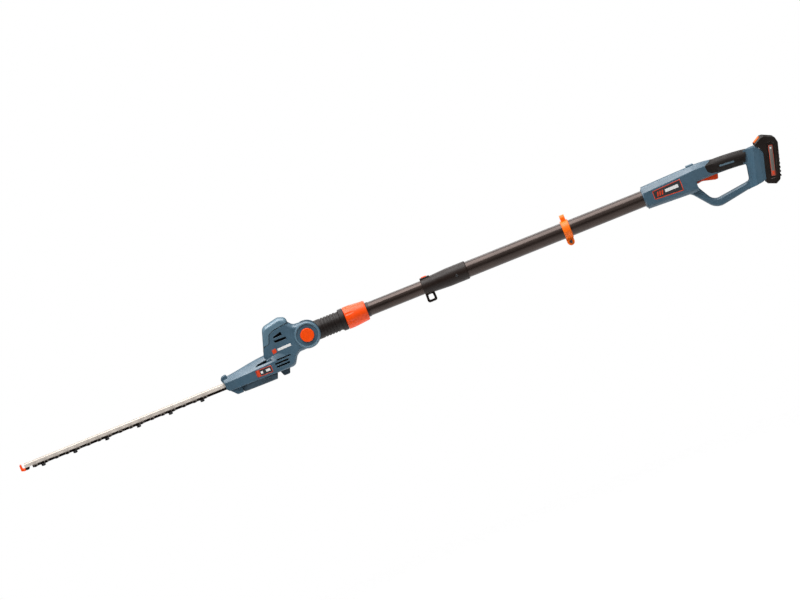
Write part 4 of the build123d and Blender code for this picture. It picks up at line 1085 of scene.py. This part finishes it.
@dataclass
class Blades:
    """The bar, its bolts and the two toothed blades with ground cutting edges."""

    finishes: Finishes
    repeater: Repeater
    pitch: float = 0.0245
    count: int = 17
    first: float = 0.007
    root: float = 0.013
    tip: float = 0.0065
    reach: float = 0.0125
    half_width: float = 0.013
    yoke_half: tuple[float, float] = (0.0168, 0.0225)
    crank_window: tuple[float, float] = (0.0108, 0.0172)
    bolt_slot: tuple[float, float] = (0.0092, 0.0028)
    bolts: int = 6
    first_bolt: float = 0.023
    grind: float = 0.0014

    def build(self) -> None:
        """Dress the bar and make both blades."""
        self.finishes.dress_all({"blade_bar": "bar_alloy", "blade_fasteners": "zinc_steel"})
        for node, cutting_below in (("upper_blade", True), ("lower_blade", False)):
            self.blade(node, cutting_below)

    def tooth(self, edge: float, back: float) -> Mesh:
        """Make a pair of teeth, one each side, with ground flanks and tips.

        Args:
            edge: Height of the face with the cutting edge.
            back: Height of the face that the grinding leaves narrower.

        Returns:
            The mesh, with its middle at x 0.
        """
        work = bmesh.new()
        for side in (-1, 1):
            rings = []
            for level, inset in ((edge, 0.0), (back, self.grind)):
                inner, outer = self.half_width - 0.0003, self.half_width + self.reach
                root, tip = self.root / 2 - inset, self.tip / 2 - 0.8 * inset
                outline = [(-root, inner), (root, inner), (tip, outer), (-tip, outer)]
                rings.append([work.verts.new((x, side * y, level)) for x, y in outline])
            for ring in rings:
                work.faces.new(ring)
            join_rings(work, rings)
        return mesh_of(work, "tooth_pair", [], 20.0)

    @staticmethod
    def slot(x: float, half_length: float, half_width: float, along_y: bool) -> Outline:
        """Return the outline of a round-ended slot centred at x.

        Args:
            x: Middle of the slot.
            half_length: Half of its whole length.
            half_width: Half of its width.
            along_y: Whether it runs across the blade.

        Returns:
            Its corner points in order.
        """
        points = []
        for index in range(20):
            angle = 2 * math.pi * (index + 0.5) / 20
            along = half_width * math.cos(angle) + math.copysign(half_length - half_width, math.cos(angle))
            across = half_width * math.sin(angle)
            points.append((x + across, along) if along_y else (x + along, across))
        return points

    def plate(self, work: Faces, low: Vector, high: Vector) -> None:
        """Add the blade's flat body, with its bolt slots and crank window.

        Args:
            work: Takes the faces.
            low: The blade's lower corner.
            high: The blade's upper corner.
        """
        yoke_x, yoke_y = self.yoke_half
        crank = high.x - yoke_x
        half = self.half_width
        outline = [(low.x, -half), (crank - yoke_x, -half), (crank - yoke_x, -yoke_y), (high.x, -yoke_y),
                   (high.x, yoke_y), (crank - yoke_x, yoke_y), (crank - yoke_x, half), (low.x, half)]
        loops = [outline, self.slot(crank, self.crank_window[1], self.crank_window[0], True)]
        for index in range(self.bolts):
            place = low.x + self.first_bolt + 3 * self.pitch * index
            loops.append(self.slot(place, *self.bolt_slot, False))
        flat = [[Vector((x, y, 0)) for x, y in loop] for loop in loops]
        corners = tessellate_polygon(flat)
        layers = [[work.verts.new((x, y, level)) for loop in loops for x, y in loop]
                  for level in (low.z, high.z)]
        for layer in layers:
            for corner in corners:
                work.faces.new([layer[index] for index in corner])
        start = 0
        for loop in loops:
            join_rings(work, [layer[start:start + len(loop)] for layer in layers])
            start += len(loop)

    def blade(self, node: str, cutting_below: bool) -> None:
        """Make one blade and show it in place of the plain carried-over one.

        Args:
            node: The blade's node.
            cutting_below: The cutting edge is at the lower face.
        """
        low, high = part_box(node)
        edge, back = (low.z, high.z) if cutting_below else (high.z, low.z)
        steel = self.finishes.get("blade_steel")
        start = Vector((low.x + self.first, 0, 0))
        teeth = self.repeater.in_row(node + "_teeth", self.tooth(edge, back), self.count, start,
                                     Vector((self.pitch, 0, 0)), steel)
        work = bmesh.new()
        self.plate(work, low, high)
        work.from_mesh(teeth)
        mesh = mesh_of(work, node + "_ground", [steel], 20.0)
        piece = add_piece(node + "_ground", mesh, node)
        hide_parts(node)


@dataclass
class Handle:
    """The rear handle: shells, soft grip, badges, trigger, lock-off and dock."""

    finishes: Finishes
    repeater: Repeater
    border_width: float = 0.0015
    front_rise: float = 0.154
    front_fall: float = 0.115
    stripe_count: int = 3
    stripe_start: float = 0.007
    stripe_step: float = 0.0052
    stripe_width: float = 0.003
    stripe_inset: float = 0.0045
    bar_start: float = 0.027
    bar_length: float = 0.030
    rib_count: int = 7
    rib_start: float = 0.0165
    rib_step: float = 0.0026
    rib_width: float = 0.0013
    rib_low: float = -0.0065
    rib_high: float = 0.0052

    def build(self) -> None:
        """Dress the nodes and add the badge trim and grip ribs."""
        self.finishes.dress_all({
            "handle_shell_near": "slate_housing", "handle_shell_far": "slate_housing",
            "handle_nameplates": "badge_field", "grip_inlays": "inlay_rubber", "soft_grip": "soft_rubber",
            "trigger": "trigger_red", "trigger_pin": "zinc_steel", "lock_off_slider": "slate_hood",
            "trigger_switch": "black_moulding", "control_board": "circuit_board",
            "handle_screws": "black_oxide", "battery_dock": "black_moulding",
            "dock_contacts": "contact_brass",
        })
        self.badges()
        self.grip_ribs()

    def badges(self) -> None:
        """Add the border, the slanted orange end and the pale bar of the barrel badges."""
        low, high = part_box("handle_nameplates")
        height = high.z - low.z
        left_low, left_high = low.z + self.front_rise * height, high.z - self.front_fall * height
        outline = [(low.x, left_low), (high.x, low.z), (high.x, high.z), (low.x, left_high)]
        work = bmesh.new()
        for side in (-1, 1):
            inlay = Inlay(("handle_nameplates",), side)
            inlay.border(work, outline, self.border_width, 0)
            foot, head, wide = left_low + self.stripe_inset, left_high - self.stripe_inset, self.stripe_width
            for index in range(self.stripe_count):
                x = low.x + self.stripe_start + self.stripe_step * index
                inlay.strip(work, [(x, foot), (x + wide, foot), (x + 2 * wide, head), (x + wide, head)], 0)
            x, end = low.x + self.bar_start, low.x + self.bar_start + self.bar_length
            inlay.strip(work, [(x, -0.0035), (end, -0.0038), (end, 0.0035), (x, 0.0030)], 1)
        self.finishes.piece("barrel_badge_trim", work, ("badge_border", "badge_pale"), "pole_body",
                            "orange_plastic")

    def grip_ribs(self) -> None:
        """Add the short raised ribs low on the rear of the soft grip."""
        work = bmesh.new()
        for side in (-1, 1):
            inlay = Inlay(("soft_grip",), side, 0.0004, 0.0006, 0.002)
            for index in range(self.rib_count):
                x = self.rib_start + self.rib_step * index
                end = x + self.rib_width
                inlay.strip(work, [(x, self.rib_low), (end, self.rib_low), (end, self.rib_high),
                                   (x, self.rib_high)])
        self.finishes.piece("grip_ribs", work, ("soft_rubber",), "pole_body", "soft_rubber")


@dataclass
class Battery:
    """The slide-on pack: case, lid, latch, label strips and back ribs."""

    finishes: Finishes
    repeater: Repeater
    lean: float = 15.0
    label_width: float = 0.009
    label_length: float = 0.066
    label_out: float = 0.0168
    recess_depth: float = 0.0014
    rim: float = 0.0016
    rib: Size = (0.0022, 0.060, 0.0042)
    rib_count: int = 8
    rib_out: float = 0.0327
    rib_start: float = -0.034
    rib_step: float = 0.0088
    ridge: Size = (0.0012, 0.018, 0.0012)
    ridge_count: int = 4
    ridge_step: float = 0.003
    ridge_lift: float = 0.0036

    def __post_init__(self) -> None:
        """Find the pack's own directions."""
        mount = next(m for m in frame["record"]["mounts"] if m["name"] == "battery_rail")
        angle = math.radians(self.lean)
        self.origin = Vector(mount["pos_m"])
        self.out = Vector((math.cos(angle), 0, -math.sin(angle)))
        self.up = Vector((math.sin(angle), 0, math.cos(angle)))

    def place(self, out: float, y: float, up: float) -> Vector:
        """Return the row point at a distance out from the dock face, across, and up the rail."""
        return self.origin + self.out * out + Vector((0, y, 0)) + self.up * up

    def turn(self) -> Matrix:
        """Return the turn from upright to the pack's lean."""
        return Matrix.Rotation(math.radians(self.lean), 4, "Y")

    def build(self) -> None:
        """Dress the nodes and add the labels and ribs."""
        self.finishes.dress_all({
            "battery_case": "black_moulding", "battery_lid": "black_moulding",
            "battery_cells": "wrapped_cells", "battery_latch": "latch_orange",
        })
        self.labels()
        self.bezel_rims()
        self.back_ribs()
        self.latch_ribs()

    def labels(self) -> None:
        """Add the narrow bordered label strip in each side recess."""
        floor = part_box("battery_case")[1].y - self.recess_depth
        work = bmesh.new()
        half_w, half_l = self.label_width / 2, self.label_length / 2
        parts = (((-half_w, half_w, -half_l, half_l), 0.0004, 0),
                 ((-half_w + 0.0007, half_w - 0.0007, -half_l + 0.0007, half_l - 0.0007), 0.0006, 1),
                 ((-half_w + 0.0016, half_w - 0.0016, -half_l + 0.0016, -half_l + 0.011), 0.00075, 0),
                 ((-half_w + 0.0026, half_w - 0.0026, half_l - 0.008, half_l - 0.0044), 0.00075, 2))
        for side in (-1, 1):
            for (u0, u1, v0, v1), lift, slot in parts:
                centre = self.place(self.label_out + (u0 + u1) / 2, side * (floor + lift - 0.0003),
                                    (v0 + v1) / 2)
                add_block(work, (u1 - u0, 0.0006, v1 - v0), 0.00025, 2,
                          Matrix.Translation(centre) @ self.turn(), slot)
        finishes = ("badge_border", "label_grey", "badge_pale")
        self.finishes.piece("battery_labels", work, finishes, "battery", "orange_plastic")

    def bezel_rims(self) -> None:
        """Add the rounded rim that frames the recess on each side, in a lighter copy of the black moulding that
        paints the rim's highlight.
        """
        corners = [(0.0067, -0.0403), (0.0243, -0.0362), (0.0268, 0.0080), (0.0273, 0.0342),
                   (0.0191, 0.0423), (0.0077, 0.0383)]
        face_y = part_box("battery_case")[1].y
        work = bmesh.new()
        for side in (-1, 1):
            for index, (out, up) in enumerate(corners):
                after = corners[(index + 1) % len(corners)]
                reach = math.hypot(after[0] - out, after[1] - up)
                slope = math.atan2(after[1] - up, after[0] - out)
                turn = self.turn() @ Matrix.Rotation(-slope, 4, "Y")
                place = self.place((out + after[0]) / 2, side * (face_y - 0.0009), (up + after[1]) / 2)
                add_block(work, (reach + self.rim, self.rim, self.rim), 0.0006, 3,
                          Matrix.Translation(place) @ turn)
        self.finishes.piece("battery_bezel_rims", work, ("highlit_rim_black",), "battery", "black_plastic")

    def back_ribs(self) -> None:
        """Add the cross ribs on the pack's outer face."""
        work = rounded_block(self.rib, 0.0009, 3)
        bmesh.ops.transform(work, matrix=self.turn(), verts=work.verts)
        item = mesh_of(work, "back_rib", [])
        start = self.place(self.rib_out, 0, self.rib_start)
        mesh = self.repeater.in_row("battery_back_ribs", item, self.rib_count, start, self.up * self.rib_step,
                                    self.finishes.get("black_moulding"))
        add_piece("battery_back_ribs", mesh, "battery")

    def latch_ribs(self) -> None:
        """Add the thumb ridges across the latch."""
        low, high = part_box("battery_latch")
        along = Vector((0.8660, 0, 0.5))
        outward = Vector((-0.5, 0, 0.8660))
        middle = Vector(((low.x + high.x) / 2, 0, (low.z + high.z) / 2)) + outward * self.ridge_lift
        work = rounded_block(self.ridge, 0.0004, 2)
        bmesh.ops.transform(work, matrix=Matrix.Rotation(math.radians(-30.0), 4, "Y"), verts=work.verts)
        item = mesh_of(work, "latch_ridge", [])
        start = middle - along * (self.ridge_count - 1) / 2 * self.ridge_step
        mesh = self.repeater.in_row("latch_ridges", item, self.ridge_count, start, along * self.ridge_step,
                                    self.finishes.get("latch_orange"))
        add_piece("latch_ridges", mesh, "battery_latch")


@dataclass
class Sockets:
    """The star sockets of the screws that close the shells from the far side, drawn as dark plates of painted
    shade.
    """

    finishes: Finishes
    repeater: Repeater
    radius: float = 0.0019
    points_of_star: int = 6

    def build(self) -> None:
        """Add the sockets on the head's and the handle's screws."""
        for node, body in (("head_screws", "head"), ("handle_screws", "pole_body")):
            # Painted shade: each socket is a dark plate, not a recess.
            mesh = self.repeater.at_points(node + "_sockets", self.star(), self.tops(node),
                                           self.finishes.get("black_moulding"))
            add_piece(node + "_sockets", mesh, body)

    def star(self) -> Mesh:
        """Make a thin six-lobed plate whose dark colour paints the shade in the socket's mouth.

        Returns:
            The plate's mesh.
        """
        work = bmesh.new()
        rings = []
        for level in (-0.0002, 0.00006):
            ring = []
            for index in range(4 * self.points_of_star):
                angle = 2 * math.pi * index / (4 * self.points_of_star)
                radius = self.radius * (0.86 + 0.14 * math.cos(self.points_of_star * angle))
                ring.append(work.verts.new((radius * math.cos(angle), level, radius * math.sin(angle))))
            rings.append(ring)
            work.faces.new(ring)
        join_rings(work, rings)
        return mesh_of(work, "star_socket_shade", [])

    @staticmethod
    def tops(node: str) -> list[Vector]:
        """Return the middle of each screw head's outer face.

        Args:
            node: The node that holds the screws.

        Returns:
            One point for each screw.
        """
        mesh = frame["nodes"][node].data
        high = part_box(node)[1].y
        ends = [v.co for v in mesh.vertices if abs(v.co.y - high) < 1e-5]
        groups: list[list[Vector]] = []
        for point in ends:
            for group in groups:
                if (group[0] - point).length < 0.008:
                    group.append(point)
                    break
            else:
                groups.append([point])
        middles = []
        for group in groups:
            xs, zs = [p.x for p in group], [p.z for p in group]
            middles.append(Vector(((min(xs) + max(xs)) / 2, high, (min(zs) + max(zs)) / 2)))
        return middles


@dataclass
class Studio:
    """The pale floor, the soft lights, the white surround and the camera."""

    rise: float = 21.93
    elevation: float = 4.0
    lens: float = 400.0
    width: float = 1.7176
    aim: Vector = field(default_factory=lambda: Vector((-0.764, 0.0, -0.0068)))
    floor_drop: float = 0.72
    floor_radius: float = 5.5

    def build(self) -> None:
        """Make the floor, lights, surround and camera."""
        self.floor()
        self.surround()
        self.lights()
        self.camera()
        bpy.context.scene.view_settings.view_transform = "Standard"

    def floor(self) -> None:
        """Add a round pale floor that fades into the surround."""
        work = bmesh.new()
        bmesh.ops.create_circle(work, cap_ends=True, segments=96, radius=self.floor_radius)
        middle = Vector((self.aim.x, 0, CAD_BOX[0].z - self.floor_drop))
        bmesh.ops.translate(work, vec=middle, verts=work.verts)
        mesh = bpy.data.meshes.new("studio_floor")
        work.to_mesh(mesh)
        work.free()
        paint = Paint("studio_floor")
        mapping = paint.tree.nodes.new("ShaderNodeMapping")
        mapping.inputs["Location"].default_value = tuple(-middle)
        paint.join(paint.place, mapping.inputs["Vector"])
        length = paint.tree.nodes.new("ShaderNodeVectorMath")
        length.operation = "LENGTH"
        paint.join(mapping.outputs[0], length.inputs[0])
        fade = paint.spread(length.outputs["Value"], 0.0, 1.0, 0.3, 0.5 * self.floor_radius)
        mottle = paint.spread(paint.noise(3.0, 3.0), 0.0, 0.4)
        paint.join(paint.blend(mottle, (0.93, 0.93, 0.93), (0.90, 0.90, 0.905)),
                   paint.shader.inputs["Base Color"])
        paint.shader.inputs["Roughness"].default_value = 0.9
        clear = paint.tree.nodes.new("ShaderNodeBsdfTransparent")
        both = paint.tree.nodes.new("ShaderNodeMixShader")
        paint.join(fade, both.inputs[0])
        paint.join(paint.shader.outputs[0], both.inputs[1])
        paint.join(clear.outputs[0], both.inputs[2])
        paint.join(both.outputs[0], paint.tree.nodes["Material Output"].inputs["Surface"])
        mesh.materials.append(paint.material)
        floor = bpy.data.objects.new("studio_floor", mesh)
        bpy.context.scene.collection.objects.link(floor)
        log.info("floor set %.2f m below the tool", self.floor_drop)

    def surround(self) -> None:
        """Set a white surround for the lens, with a shaded band that gives round things form."""
        world = bpy.data.worlds.new("studio_surround")
        world.use_nodes = True
        nodes, links = world.node_tree.nodes, world.node_tree.links
        nodes.clear()
        place = nodes.new("ShaderNodeTexCoord")
        parts = nodes.new("ShaderNodeSeparateXYZ")
        links.new(place.outputs["Generated"], parts.inputs[0])
        ramp = nodes.new("ShaderNodeValToRGB")
        ramp.color_ramp.elements[0].position = 0.0
        ramp.color_ramp.elements[0].color = (0.42, 0.40, 0.39, 1)
        ramp.color_ramp.elements[1].position = 1.0
        ramp.color_ramp.elements[1].color = (1.0, 1.0, 1.0, 1)
        for position, level in ((0.36, 0.30), (0.46, 0.02), (0.60, 0.02), (0.70, 0.6)):
            ramp.color_ramp.elements.new(position).color = (level, level, level, 1)
        shift = nodes.new("ShaderNodeMath")
        shift.operation = "MULTIPLY_ADD"
        shift.inputs[1].default_value = 0.5
        shift.inputs[2].default_value = 0.5
        links.new(parts.outputs[2], shift.inputs[0])
        links.new(shift.outputs[0], ramp.inputs[0])
        lit, seen = nodes.new("ShaderNodeBackground"), nodes.new("ShaderNodeBackground")
        lit.inputs["Strength"].default_value = 0.6
        links.new(ramp.outputs[0], lit.inputs["Color"])
        seen.inputs["Color"].default_value = (1, 1, 1, 1)
        rays = nodes.new("ShaderNodeLightPath")
        both = nodes.new("ShaderNodeMixShader")
        links.new(rays.outputs["Is Camera Ray"], both.inputs[0])
        links.new(lit.outputs[0], both.inputs[1])
        links.new(seen.outputs[0], both.inputs[2])
        output = nodes.new("ShaderNodeOutputWorld")
        links.new(both.outputs[0], output.inputs["Surface"])
        bpy.context.scene.world = world

    def lights(self) -> None:
        """Add the soft boxes: two above, one behind and one from the handle's end."""
        aim = self.aim
        boxes = (
            ("key_light", Vector((-1.2, -1.6, 2.9)), 1.6, 40.0),
            ("fill_light", Vector((1.4, -3.2, 0.9)), 1.6, 7.0),
            ("back_light", Vector((0.2, 2.2, 2.2)), 2.0, 30.0),
            ("top_light", Vector((0.0, -0.5, 2.4)), 2.4, 112.0),
        )
        for name, offset, size, power in boxes:
            lamp = bpy.data.lights.new(name, "AREA")
            lamp.shape, lamp.size, lamp.energy = "SQUARE", size, power
            light = bpy.data.objects.new(name, lamp)
            bpy.context.scene.collection.objects.link(light)
            light.location = aim + offset
            light.rotation_euler = offset.to_track_quat("Z", "Y").to_euler()
            log.info("%s placed", name)

    def camera(self) -> None:
        """Set the camera square to the tool's side, rolled so that the pole rises to the right."""
        data = bpy.data.cameras.new("camera")
        data.lens, data.sensor_width = self.lens, 36.0
        data.clip_end = 100.0
        camera = bpy.data.objects.new("camera", data)
        bpy.context.scene.collection.objects.link(camera)
        distance = self.width * self.lens / data.sensor_width
        tilt, roll = math.radians(self.elevation), math.radians(self.rise)
        back = Vector((0, -math.cos(tilt), math.sin(tilt)))
        level, up = Vector((1, 0, 0)), Vector((0, math.sin(tilt), math.cos(tilt)))
        right = level * math.cos(roll) - up * math.sin(roll)
        top = level * math.sin(roll) + up * math.cos(roll)
        turn = Matrix((right, top, back)).transposed().to_4x4()
        camera.matrix_world = Matrix.Translation(self.aim + back * distance) @ turn
        bpy.context.scene.camera = camera
        log.info("camera %.2f m away", distance)


def main() -> None:
    """Build the finishes, every sub-assembly and the studio, in order."""
    logging.basicConfig(level=logging.INFO, format="%(message)s")
    finishes, repeater = Finishes(), Repeater()
    for part in (Pole, Head, Blades, Handle, Battery, Sockets):
        part(finishes, repeater).build()
    Studio().build()


if __name__ == "__main__":
    main()
